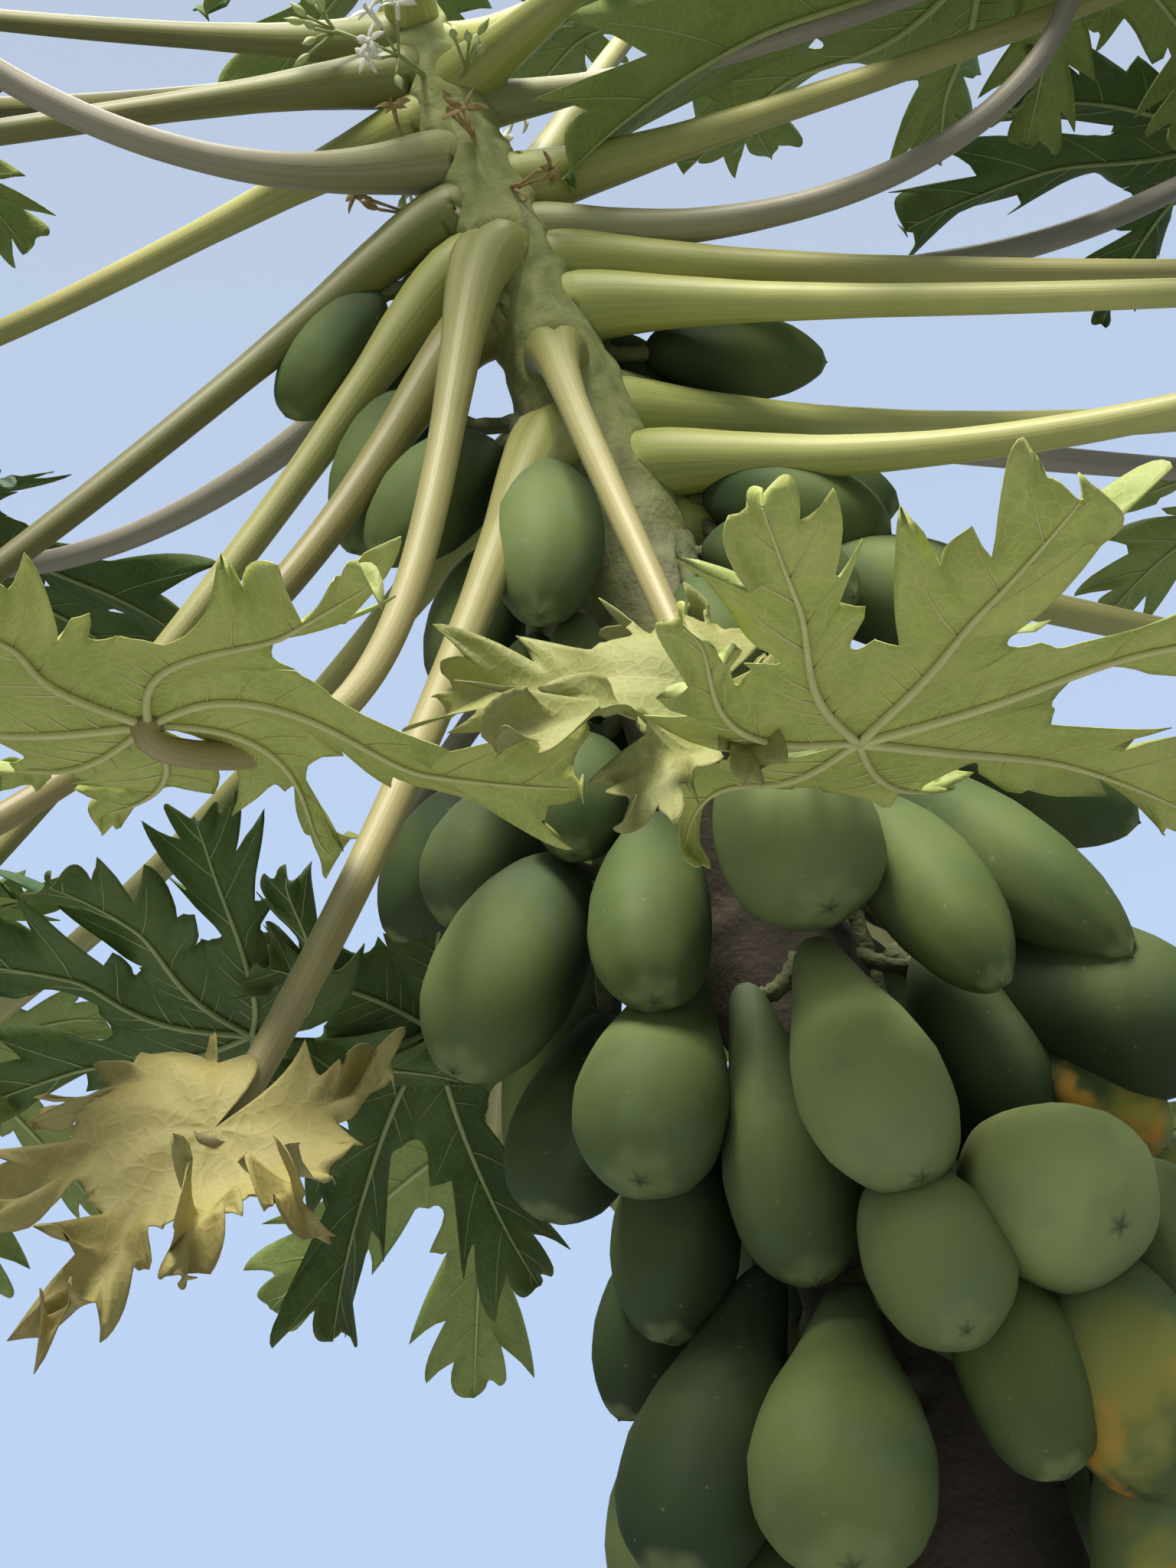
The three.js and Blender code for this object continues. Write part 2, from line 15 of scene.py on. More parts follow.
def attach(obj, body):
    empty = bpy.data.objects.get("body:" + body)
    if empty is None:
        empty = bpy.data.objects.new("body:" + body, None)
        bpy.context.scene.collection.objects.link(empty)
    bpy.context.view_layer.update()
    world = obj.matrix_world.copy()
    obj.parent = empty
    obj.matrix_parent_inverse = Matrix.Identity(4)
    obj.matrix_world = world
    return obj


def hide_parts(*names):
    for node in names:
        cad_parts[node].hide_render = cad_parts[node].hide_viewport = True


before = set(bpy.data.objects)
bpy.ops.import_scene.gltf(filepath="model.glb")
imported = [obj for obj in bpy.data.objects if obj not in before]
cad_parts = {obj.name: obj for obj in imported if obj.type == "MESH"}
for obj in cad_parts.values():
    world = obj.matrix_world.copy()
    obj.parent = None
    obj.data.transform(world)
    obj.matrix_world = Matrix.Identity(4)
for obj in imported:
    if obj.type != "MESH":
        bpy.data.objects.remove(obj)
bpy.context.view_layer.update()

# %% [markdown]
# ## The trunk's line
#
# A leaf or a fruit is placed by its station, which is a distance along the trunk's centre line,
# and its bearing, which is an angle about the trunk in degrees. The lean grows evenly from the
# foot to the top, so the centre line is an arc of a circle and has an exact formula.

# %% Stations, bearings and the trunk's line
TRUNK_LENGTH = 3.780
LEAN_AT_FOOT = 5.0
LEAN_AT_TOP = 17.0
LEAN_GROWS_OVER = 3.850
TRUNK_GIRTH = np.array([
    [0, .158], [.060, .138], [.180, .122], [.500, .108], [1.100, .094], [1.700, .083], [2.300, .072],
    [2.800, .062], [3.100, .053], [3.400, .042], [3.640, .032], [3.780, .024], [3.830, .018], [3.900, .003]])


def direction(bearing, rise):
    """A unit vector from its bearing and its rise above level, in degrees."""
    bearing, rise = np.radians(bearing), np.radians(rise)
    level = np.cos(rise)
    return np.stack([np.cos(bearing) * level, np.sin(bearing) * level, np.sin(rise) + 0 * bearing], -1)


def lean(station):
    """How far the trunk leans at a station, in radians."""
    return np.radians(LEAN_AT_FOOT + (LEAN_AT_TOP - LEAN_AT_FOOT) * np.asarray(station) / LEAN_GROWS_OVER)


def trunk_point(station):
    """The centre of the trunk at a station."""
    growth = (lean(LEAN_GROWS_OVER) - lean(0)) / LEAN_GROWS_OVER
    here = lean(station)
    x = (np.cos(here) - np.cos(lean(0))) / growth
    z = (np.sin(here) - np.sin(lean(0))) / growth
    return np.stack([x, 0 * x, z], -1)


def trunk_axis(station):
    """The way that the trunk grows at a station."""
    here = lean(station)
    return np.stack([-np.sin(here), 0 * here, np.cos(here)], -1)


def outwards(station, bearing):
    """The way straight out of the trunk at a bearing."""
    here, turn = lean(station), np.radians(bearing)
    return np.stack([np.cos(turn) * np.cos(here), np.sin(turn) + 0 * here, np.cos(turn) * np.sin(here)], -1)


def around(station, bearing, distance):
    """A point at a distance from the trunk's centre line."""
    return trunk_point(station) + outwards(station, bearing) * np.asarray(distance)[..., None]


def girth(station):
    """The trunk's radius at a station."""
    return np.interp(station, TRUNK_GIRTH[:, 0], TRUNK_GIRTH[:, 1])


def unit(vectors):
    """Vectors made one long."""
    return vectors / np.maximum(np.linalg.norm(vectors, axis=-1, keepdims=True), 1e-12)


print("top of the trunk:", np.round(trunk_point(TRUNK_LENGTH), 3))

# %% [markdown]
# ## Nodes in one line each
#
# The sky, the finishes and the effects that they share are all small node trees. Three functions
# keep them short: one makes a node with its values, one makes links and one starts a group.

# %% Nodes and links in one line each
def node(tree, kind, **settings):
    """A new shader node, with its properties and the values of its inputs set by name."""
    made = tree.nodes.new("ShaderNode" + kind)
    for name, value in settings.items():
        name = name.replace("_", " ") if name.replace("_", " ") in made.inputs else name
        if name in made.inputs:
            made.inputs[name].default_value = value
        else:
            setattr(made, name, value)
    return made


def wire(tree, *links):
    """Links, each as source node, output, target node, input."""
    for source, output, target, socket in links:
        tree.links.new(source.outputs[output], target.inputs[socket])


FLOAT = "NodeSocketFloat"
COLOUR = "NodeSocketColor"


def group(name, inputs, outputs):
    """A new shader node group with named inputs and outputs."""
    tree = bpy.data.node_groups.new(name, "ShaderNodeTree")
    for label, value in inputs.items():
        kind = COLOUR if isinstance(value, tuple) else FLOAT
        tree.interface.new_socket(label, in_out="INPUT", socket_type=kind).default_value = value
    for label in outputs:
        kind = COLOUR if label == "Color" else FLOAT
        tree.interface.new_socket(label, in_out="OUTPUT", socket_type=kind)
    return tree, tree.nodes.new("NodeGroupInput"), tree.nodes.new("NodeGroupOutput")


print("helpers:", node.__name__, wire.__name__, group.__name__)


# %% [markdown]
# ## Camera, floor and light
#
# The photograph is taken from about eye height close to the tree, with the camera turned up by 30
# degrees and rolled by 3, so only the crown and the fruit fill the frame. The light is a pale,
# cloudy sky. The world is bright where the camera sees it, but lights the tree with a dimmer sky
# that is nearly dark below, as under a close crown. One large soft lamp from the upper left gives
# the fruit its form, and a weak one from above and behind lights the rims. They come first, so
# each piece can be looked at as soon as it is made.

# %% Camera
PITCH = math.radians(30)
ROLL = math.radians(3)
CAMERA_AT = Vector((-0.573, -2.255, 1.504))
LENS = 70.3
SENSOR = 36
forward = Vector((0, math.cos(PITCH), math.sin(PITCH)))
level_up = Vector((0, -math.sin(PITCH), math.cos(PITCH)))
camera_right = math.cos(ROLL) * Vector((1, 0, 0)) - math.sin(ROLL) * level_up
camera_up = math.sin(ROLL) * Vector((1, 0, 0)) + math.cos(ROLL) * level_up
bpy.ops.object.select_all(action="DESELECT")
bpy.ops.object.camera_add(location=CAMERA_AT)
camera = bpy.context.object
camera.name = "camera"
turn = np.array([camera_right, camera_up, -forward]).T
camera.rotation_euler = Matrix(turn.tolist()).to_euler()
camera.data.lens = LENS
camera.data.sensor_width = SENSOR
camera.data.sensor_fit = "AUTO"
bpy.context.scene.camera = camera
print("camera at", tuple(round(value, 3) for value in CAMERA_AT))

# %% Floor
FLOOR_SIZE = 11
FLOOR_BELOW = 0.002
bpy.ops.mesh.primitive_plane_add(size=FLOOR_SIZE, location=(-0.5, 0, -FLOOR_BELOW))
floor = bpy.context.object
floor.name = "floor"
floor_paint = bpy.data.materials.new("floor_paint")
floor_paint.use_nodes = True
floor_shader = floor_paint.node_tree.nodes["Principled BSDF"]
floor_shader.inputs["Base Color"].default_value = (0.50, 0.51, 0.52, 1)
floor_shader.inputs["Roughness"].default_value = 0.9
floor.data.materials.append(floor_paint)
print("floor:", FLOOR_SIZE, "m square")

# %% Sky and lamps
def sky_shade(tree, stops):
    """A colour ramp that runs with height: 0 straight down, .5 level, 1 straight up."""
    towards, split = node(tree, "TexCoord"), node(tree, "SeparateXYZ")
    height, shade = node(tree, "MapRange", From_Min=-1), node(tree, "ValToRGB")
    wire(tree, (towards, "Generated", split, "Vector"), (split, "Z", height, "Value"),
         (height, "Result", shade, "Fac"))
    ramp = shade.color_ramp
    ramp.elements[0].position, ramp.elements[0].color = stops[0]
    ramp.elements[1].position, ramp.elements[1].color = stops[-1]
    for position, colour in stops[1:-1]:
        ramp.elements.new(position).color = colour
    return shade


SEEN_SKY = [(0.0, (.34, .38, .40, 1)), (.49, (.40, .45, .50, 1)), (.53, (.50, .63, .86, 1)),
            (.72, (.52, .67, .93, 1)), (.87, (.50, .58, .72, 1)), (1.0, (.72, .80, .92, 1))]
LIGHT_SKY = [(0.0, (.05, .06, .04, 1)), (.47, (.08, .09, .06, 1)), (.52, (.34, .40, .46, 1)),
             (.75, (.52, .58, .66, 1)), (1.0, (.86, .90, .94, 1))]
LIGHT_STRENGTH = 0.80
world = bpy.data.worlds.new("pale_sky")
world.use_nodes = True
bpy.context.scene.world = world
sky = world.node_tree
seen, lighting = sky.nodes["Background"], node(sky, "Background", Strength=LIGHT_STRENGTH)
choose, rays = node(sky, "MixShader"), node(sky, "LightPath")
wire(sky, (sky_shade(sky, SEEN_SKY), "Color", seen, "Color"),
     (sky_shade(sky, LIGHT_SKY), "Color", lighting, "Color"), (rays, "Is Camera Ray", choose, "Fac"),
     (lighting, "Background", choose, 1), (seen, "Background", choose, 2),
     (choose, "Shader", sky.nodes["World Output"], "Surface"))
bpy.context.scene.view_settings.view_transform = "Standard"


def soft_lamp(name, place, aim, size, watts, tint):
    """A square area lamp turned towards a point."""
    bpy.ops.object.light_add(type="AREA", location=place)
    lamp = bpy.context.object
    lamp.name = name
    lamp.rotation_euler = (Vector(aim) - Vector(place)).to_track_quat("-Z", "Y").to_euler()
    lamp.data.size = size
    lamp.data.energy = watts
    lamp.data.color = tint
    return lamp


CROWN = (-0.5, 0, 2.7)
soft_lamp("key", place=(-1.5, -3.0, 7.4), aim=CROWN, size=1.8, watts=520, tint=(1.0, 0.96, 0.84))
soft_lamp("top", place=(-0.6, 1.2, 7.6), aim=CROWN, size=3.0, watts=190, tint=(1.0, 0.98, 0.94))

# %% [markdown]
# ## Effects that several finishes share
#
# A plant has no flat colours. Each finish below mixes a few close tones by noise, so four small
# node groups hold that work: one mottles two colours, one scatters small flecks, one draws the
# fine net of a blade's veins, and one draws streaks that run along a stalk or a fruit. They are
# built once and set into each material with its own values.

# %% Node groups
mottle, start, end = group(
    "mottle", {"First": (0, 0, 0, 1), "Second": (1, 1, 1, 1), "Scale": 20, "Low": .35, "High": .65,
               "Detail": 4}, ["Color", "Mask"])
place, noise, ramp = node(mottle, "TexCoord"), node(mottle, "TexNoise"), node(mottle, "MapRange")
blend = node(mottle, "Mix", data_type="RGBA")
wire(mottle, (place, "Object", noise, "Vector"), (start, "Scale", noise, "Scale"),
     (start, "Detail", noise, "Detail"), (noise, "Fac", ramp, "Value"), (start, "Low", ramp, "From Min"),
     (start, "High", ramp, "From Max"), (ramp, "Result", blend, "Factor"), (start, "First", blend, "A"),
     (start, "Second", blend, "B"),
     (blend, "Result", end, "Color"), (ramp, "Result", end, "Mask"))

flecks, start, end = group("flecks", {"Scale": 60, "Share": .2, "Size": .18}, ["Mask"])
place, cells = node(flecks, "TexCoord"), node(flecks, "TexVoronoi")
near = node(flecks, "MapRange", From_Min=0, To_Min=1, To_Max=0)
split = node(flecks, "SeparateColor")
chosen, both = node(flecks, "Math", operation="LESS_THAN"), node(flecks, "Math", operation="MULTIPLY")
wire(flecks, (place, "Object", cells, "Vector"), (start, "Scale", cells, "Scale"),
     (start, "Size", near, "From Max"), (cells, "Distance", near, "Value"), (cells, "Color", split, "Color"),
     (split, "Red", chosen, 0), (start, "Share", chosen, 1), (near, "Result", both, 0), (chosen, 0, both, 1),
     (both, 0, end, "Mask"))

net, start, end = group("net", {"Scale": 95, "Width": .1}, ["Mask"])
place, cells = node(net, "TexCoord"), node(net, "TexVoronoi", feature="DISTANCE_TO_EDGE")
near = node(net, "MapRange", To_Min=1, To_Max=0)
wire(net, (place, "Object", cells, "Vector"), (start, "Scale", cells, "Scale"),
     (cells, "Distance", near, "Value"), (start, "Width", near, "From Max"), (near, "Result", end, "Mask"))

streaks, start, end = group("streaks", {"Across": 14, "Along": 1.2, "Low": .4, "High": .6}, ["Mask"])
place, scale = node(streaks, "TexCoord"), node(streaks, "CombineXYZ")
stretch = node(streaks, "VectorMath", operation="MULTIPLY")
noise, ramp = node(streaks, "TexNoise", Scale=1, Detail=3), node(streaks, "MapRange")
wire(streaks, (start, "Across", scale, "X"), (start, "Along", scale, "Y"), (place, "UV", stretch, 0),
     (scale, "Vector", stretch, 1), (stretch, "Vector", noise, "Vector"), (noise, "Fac", ramp, "Value"),
     (start, "Low", ramp, "From Min"), (start, "High", ramp, "From Max"), (ramp, "Result", end, "Mask"))
print("node groups:", [tree.name for tree in (mottle, flecks, net, streaks)])

# %% [markdown]
# ## Writing a material in a few lines
#
# A finish is a stack: a mottled base, then layers laid over it by a mask. The small class below
# adds one layer a call, so each material further on reads as a list of what the surface has.

# %% A finish as a stack of layers
def toned(colour, factor, added=0.0):
    """A colour made darker or lighter."""
    return tuple(value * factor + added for value in colour)


class Finish:
    """A Principled material whose base colour is built up layer by layer."""

    def __init__(self, name, first, second, scale=20, low=.35, high=.65, rough=.6):
        self.material = bpy.data.materials.new(name)
        self.material.use_nodes = True
        self.tree = self.material.node_tree
        self.link = self.tree.links.new
        self.shader = self.tree.nodes["Principled BSDF"]
        self.shader.inputs["Roughness"].default_value = rough
        base = self.add(mottle, First=(*first, 1), Second=(*second, 1), Scale=scale, Low=low, High=high)
        self.colour = base.outputs["Color"]
        self.material.diffuse_color = (*first, 1)

    def add(self, tree, **values):
        """One of the node groups, with its own values."""
        return node(self.tree, "Group", node_tree=tree, **values)

    def over(self, colour, mask):
        """Lays a colour, or another socket's colour, over what is there by a mask."""
        mix = node(self.tree, "Mix", data_type="RGBA")
        self.link(mask, mix.inputs["Factor"])
        self.link(self.colour, mix.inputs["A"])
        if isinstance(colour, tuple):
            mix.inputs["B"].default_value = (*colour, 1)
        else:
            self.link(colour, mix.inputs["B"])
        self.colour = mix.outputs["Result"]

    def field(self, name, low=0.0, high=1.0, weight=1.0):
        """A mask from a number that the mesh carries at each point."""
        read = node(self.tree, "Attribute", attribute_name=name)
        ramp = node(self.tree, "MapRange", From_Min=low, From_Max=high, To_Max=weight)
        self.link(read.outputs["Fac"], ramp.inputs["Value"])
        return ramp.outputs["Result"]

    def mask(self, tree, weight=1.0, **values):
        """A mask from one of the node groups."""
        return self.times(self.add(tree, **values).outputs["Mask"], weight)

    def patches(self, colour, field, weight=1.0, share=1.0, **values):
        """A colour in mottled patches where the mesh's field has a value."""
        self.over(colour, self.times(self.field(field, 0, 1, weight), self.mask(mottle, share, **values)))

    def times(self, first, second):
        """A mask times a number or times another mask."""
        product = node(self.tree, "Math", operation="MULTIPLY")
        self.link(first, product.inputs[0])
        if isinstance(second, (int, float)):
            product.inputs[1].default_value = second
        else:
            self.link(second, product.inputs[1])
        return product.outputs[0]

    def bump(self, height, strength=.4, distance=.002):
        """A bump that adds to the bumps before it."""
        bump = node(self.tree, "Bump", Strength=strength, Distance=distance)
        self.link(height, bump.inputs["Height"])
        last = self.shader.inputs["Normal"]
        if last.is_linked:
            self.link(last.links[0].from_socket, bump.inputs["Normal"])
        self.link(bump.outputs["Normal"], last)

    def done(self):
        """Links the last layer and hands out the material."""
        self.link(self.colour, self.shader.inputs["Base Color"])
        return self.material


# %% [markdown]
# ## Meshes from rings of points
#
# Stalks, trunk and flowers are all skins over rings. Cylinders bent by hand would do for one or
# two, but not for a hundred that have to lie on their solids. So one function turns an array of
# rings into an object, closes its ends, and writes the numbers that the materials read: how far
# along and how far round each point lies, as a UV map and as a field.

# %% Objects, fields and rings from arrays
def new_object(name, points, faces, fields=None, material=None):
    """An object from arrays of points and faces; each field gives one number a point."""
    mesh = bpy.data.meshes.new(name)
    mesh.from_pydata(points.tolist(), [], faces)
    for label, values in (fields or {}).items():
        field = mesh.attributes.new(label, "FLOAT", "POINT")
        field.data.foreach_set("value", values.astype(np.float32))
    item = bpy.data.objects.new(name, mesh)
    bpy.context.collection.objects.link(item)
    if material:
        mesh.materials.append(material)
    return item


def skin_faces(rows, sides, first=0):
    """Quads of a skin over rings, whose points are counted from a first one."""
    row, side = np.meshgrid(np.arange(rows - 1), np.arange(sides), indexing="ij")
    low = first + row * sides + side
    after = first + row * sides + (side + 1) % sides
    return np.stack([low, after, after + sides, low + sides], -1).reshape(-1, 4).tolist()


def rings_along(path, radius, angle, side, lift, flat=1.0):
    """Rings of points round a path, with a radius for each row, or for each row and point."""
    out = np.cos(angle)[None, :, None] * side[:, None] + flat * np.sin(angle)[None, :, None] * lift[:, None]
    return path[:, None] + radius[..., None] * out


# %% Skins over rings
def skin(name, rings, fields=None):
    """A closed skin over rings[row, point]; fields are arrays of the same rows and points."""
    rows, sides = rings.shape[:2]
    points = rings.reshape(-1, 3)
    faces = skin_faces(rows, sides)
    for at_end in (0, rows - 1):
        centre = len(points)
        points = np.concatenate([points, [rings[at_end].mean(0)]])
        for j in range(sides):
            edge = [at_end * sides + j, at_end * sides + (j + 1) % sides]
            faces.append([centre, *(edge if at_end else edge[::-1])])
    filled = {}
    for label, values in (fields or {}).items():
        grid = np.broadcast_to(values, (rows, sides))
        filled[label] = np.concatenate([grid.reshape(-1), [grid[0].mean(), grid[-1].mean()]])
    item = new_object(name, points, faces, filled)
    mesh = item.data
    uv = mesh.uv_layers.new(name="UVMap")
    corners = np.empty(len(mesh.loops), dtype=np.int32)
    mesh.loops.foreach_get("vertex_index", corners)
    body = corners < rows * sides
    round_share = np.where(body, (corners % sides) / sides, 0.5)
    along_share = np.where(body, (corners // sides) / max(rows - 1, 1), 0.5)
    uv.data.foreach_set("uv", np.stack([round_share, along_share], -1).astype(np.float32).ravel())
    return item


# %% Selecting, joining and tubes
def only(*items):
    """Selects these objects alone."""
    bpy.ops.object.select_all(action="DESELECT")
    for item in items:
        item.select_set(True)
    bpy.context.view_layer.objects.active = items[0]


def join(items, name):
    """Joins objects into the first, under one name."""
    only(*items)
    bpy.ops.object.join()
    items[0].name = name
    items[0].data.name = name
    return items[0]


def tube(name, path, radii, sides, side_ways=None, groove=0.0, groove_fade=0.07):
    """A tube along a path of points, with a groove in its top that fades from the foot."""
    path = np.asarray(path)
    heading = unit(np.gradient(path, axis=0))
    if side_ways is None:
        side_ways = np.cross(heading, direction(0.0, 90.0) + 0 * heading)
        size = np.linalg.norm(side_ways, axis=-1, keepdims=True)
        side_ways = np.where(size < 1e-3, np.array([1.0, 0, 0]), side_ways)
    side_ways = unit(side_ways - heading * (side_ways * heading).sum(-1, keepdims=True))
    lift = np.cross(heading, side_ways)
    length = np.concatenate([[0], np.cumsum(np.linalg.norm(np.diff(path, axis=0), axis=-1))])
    angle = 2 * np.pi * np.arange(sides) / sides
    radius = np.asarray(radii)[:, None] * np.ones(sides)
    if groove:
        across = np.exp(-np.abs((angle - np.pi / 2) / .30) ** 1.3)
        fading = np.exp(-(length / groove_fade) ** 1.2)
        radius = radius * (1 - groove * across * fading[:, None])
    rings = rings_along(path, radius, angle, side_ways, lift)
    share = (length / length[-1])[:, None] * np.ones(sides)
    return skin(name, rings, {"along": share, "upper": np.sin(angle)[None] + 0 * share})


# %% [markdown]
# ## Trunk
#
# A papaya has no boughs and no real wood: the stem is green and soft between the leaf stalks and
# turns grey-brown below them, and every fallen leaf leaves a broad scar. The skin is one fine
# grid of rings. The scars are pressed into it as flat-topped shields with a raised rim, in the
# spiral in which the leaves grew. Higher up a collar swells round the foot of each stalk, and
# pale ridges run between the feet.

# %% Rows of leaves and the spiral of old scars
# Columns, in millimetres and degrees: station, bearing, rise at the foot, rise at the end, bend,
# length, turn of bearing, reach of blade, blade's turn of bearing, blade's rise, blade's roll.
LEAVES = np.array([
    [3755, -95, 34, 30, 1.3, 560, 0, 320, 0, 0, 0],
    [3745, 172, 14, 22, 1.3, 700, 0, 340, 0, 0, 0],
    [3720, 12, 42, 62, 2, 660, 0, 320, 0, 10, 0],
    [3710, 150, 22, 30, 1.3, 860, 0, 350, 0, -6, 0],
    [3690, 186, -12, -14, 1.3, 800, 0, 360, 0, -18, 0],
    [3675, 95, 60, 56, 1.3, 760, 0, 360, 0, 25, 0],
    [3660, -42, 6, 10, 1.3, 760, 0, 360, 0, -6, 0],
    [3640, 160, -14, 24, 4, 820, 0, 360, 0, 2, 0],
    [3640, 0, 10, 25, 1.3, 550, 0, 480, 184, -26, 0],
    [3570, 200, -40, 66, 0.75, 800, 0, 360, 0, -6, 0],
    [3545, 66, 58, 54, 1.3, 840, 0, 360, 0, 25, 0],
    [3530, 0, 18, 24, 1.3, 840, 0, 370, 0, -8, 0],
    [3510, 180, -46, -38, 1.3, 880, 0, 370, 0, -42, 0],
    [3465, -4, -8, 90, 1.5, 730, 0, 370, 0, -10, 0],
    [3455, 148, -40, 35, 1, 800, 0, 370, -150, -6, 0],
    [3450, 176, -60, -48, 1.3, 900, 0, 370, 0, -50, 0],
    [3430, 242, -76, -2, 3.6, 920, -20, 370, 6, -4, 0],
    [3425, -4, -10, -4, 1.3, 900, 0, 370, 0, -8, 0],
    [3420, 26, 15, 45, 1.3, 1000, 0, 380, 190, -12, 0],
    [3400, 80, -14, -4, 1.3, 900, 0, 370, 0, -10, 0],
    [3370, 196, -66, -24, 1.7, 920, 0, 370, 0, -30, 0],
    [3365, -14, -15, -9, 1.3, 920, 0, 370, 0, -8, 0],
    [3290, -95, -48, -69, 0.7, 700, 40, 250, -104, -38, -80],
    [3280, 98, -26, -20, 1.3, 920, 0, 370, 0, -24, 0],
    [3270, 30, 10, 15, 1.3, 920, 0, 370, 0, -8, 0],
    [3250, 14, 2, 20, 1.3, 920, 0, 370, 0, -8, 0],
    [3245, 142, -34, -10, 1.3, 940, 0, 370, 0, -14, 0],
    [3205, 238, -67, -57, 1.3, 980, 0, 250, -40, -45, -75],
    [3165, -24, -21, 14, 1.3, 900, 0, 370, 0, -8, 0],
    [2940, -66, -45, -30, 1.3, 540, -30, 380, 77, 4, 8],
    [3110, 10, -12, -11, 1.3, 900, 0, 370, 0, -16, 0],
    [3100, 62, -24, -16, 1.3, 900, 0, 360, 0, -20, 0],
    [3090, 150, -48, -39, 1.3, 500, 0, 340, 36, 6, 0],
    [2980, 130, -42, -38, 1.3, 380, 0, 300, 10, -46, 0]])
MILLIMETRES = [1000, 1, 1, 1, 1, 1000, 1, 1000, 1, 1, 1]
LEAVES = LEAVES / MILLIMETRES
FEET = LEAVES[:, :2]
SPIRAL = 137.5
scar_stations = np.arange(0.16, 2.96, 0.034)
SCARS = np.stack([scar_stations, (np.arange(len(scar_stations)) * SPIRAL) % 360], -1)
print("leaves:", len(LEAVES), "old scars:", len(SCARS))


# %% Relief of the trunk
def apart(station, bearing, marks):
    """Distances along and round the trunk from every point to every mark, in metres."""
    gap_up = station[..., None] - marks[:, 0]
    gap_round = (bearing[..., None] - marks[:, 1] + 180) % 360 - 180
    return gap_up, np.radians(gap_round) * girth(station)[..., None]


TRUNK_SIDES = 96
ROOT_RIBS = 5
SCAR_HALF_WIDTH = 0.030
SCAR_ABOVE = 0.011
SCAR_BELOW = 0.021
SCAR_RIM_HEIGHT = 0.0022
SCAR_DEPTH = 0.0028
WEB_HEIGHT = 0.0030
COLLAR_HEIGHT = 0.0055
COLLAR_RADIUS = 0.034
RIPPLE_HEIGHT = 0.0009
BARK_SEED = 7
stations = np.concatenate([
    np.arange(0, 3.0, 0.008), np.arange(3.0, TRUNK_LENGTH, 0.0045), [TRUNK_LENGTH - 0.0002]])
bearings = 360 * np.arange(TRUNK_SIDES) / TRUNK_SIDES
station_grid, bearing_grid = np.meshgrid(stations, bearings, indexing="ij")
up, sideways = apart(station_grid, bearing_grid, SCARS)
shield = (sideways / SCAR_HALF_WIDTH) ** 2 + np.where(up > 0, up / SCAR_ABOVE, up / SCAR_BELOW) ** 2
nearest = shield.min(-1)
scar_floor = np.clip(1.25 - nearest, 0, 1)
scar_rim = np.exp(-((nearest - 1.35) / 0.5) ** 2)
up, sideways = apart(station_grid, bearing_grid, FEET)
distance = np.sqrt(up ** 2 + sideways ** 2)
ordered = np.sort(distance, -1)
web = np.exp(-((ordered[..., 1] - ordered[..., 0]) / 0.016) ** 2) * np.clip((station_grid - 2.95) / 0.15, 0, 1)
web *= np.clip((ordered[..., 0] - 0.018) / 0.02, 0, 1)
collar = np.exp(-((ordered[..., 0] - COLLAR_RADIUS) / 0.011) ** 2) * np.clip((station_grid - 2.9) / 0.1, 0, 1)
rng = np.random.default_rng(BARK_SEED)
ripple = sum(
    np.sin(station_grid * rng.uniform(60, 260) + rng.uniform(0, 6) + 1.5 * np.sin(np.radians(bearing_grid) * k))
    for k in (1, 2, 3, 4)) / 4
fine = np.clip((3.1 - station_grid) / 0.3, 0, 1)
relief = (SCAR_RIM_HEIGHT * scar_rim * fine - SCAR_DEPTH * scar_floor * fine + WEB_HEIGHT * web
          + COLLAR_HEIGHT * collar + RIPPLE_HEIGHT * ripple * fine)
ribs = 1 + 0.07 * np.exp(-station_grid / 0.130) * np.cos(ROOT_RIBS * np.radians(bearing_grid))
radius = girth(station_grid) * ribs + relief
rings = trunk_point(station_grid) + outwards(station_grid, bearing_grid) * radius[..., None]
rings[..., 2] = np.maximum(rings[..., 2], 0)
print("scar floor share:", round(float(scar_floor.mean()), 3), "web share:", round(float(web.mean()), 3))

# %% Bark finish and trunk piece
bark = Finish("bark_finish", (.19, .165, .125), (.30, .27, .21), scale=26, rough=.85)
bark.over((.36, .34, .28), bark.mask(mottle, .6, Scale=9, Low=.5, High=.62))
# Painted shade: among the fruit the bark turns a near-black brown, partly its own dark brown and partly the
# shade under the fruit.
bark.over((.050, .037, .025), bark.field("brown_and_shade", 0, 1, .97))
bark.over((.115, .095, .07), bark.field("scar", .1, .9, .7))
bark.over((.40, .37, .30), bark.field("rim", .35, 1, .45))
green_stem = bark.add(mottle, First=(.19, .215, .062, 1), Second=(.31, .325, .115, 1), Scale=30)
bark.over(green_stem.outputs["Color"], bark.field("green"))
bark.over((.37, .39, .165), bark.field("web", .25, 1.1, .55))
bark.over((.34, .40, .24), bark.times(
    bark.mask(streaks, .5, Across=60, Along=26, Low=.58, High=.70), bark.field("green")))
bark.bump(bark.mask(mottle, Scale=150, Low=.3, High=.7), .5, .0015)
bark.bump(bark.mask(mottle, Scale=34, Low=.3, High=.7), .4, .003)
uneven = 0.25 * np.sin(np.radians(bearing_grid) * 3 + station_grid * 9)
green = np.clip((station_grid - 2.72) / 0.5 + uneven, 0, 1)
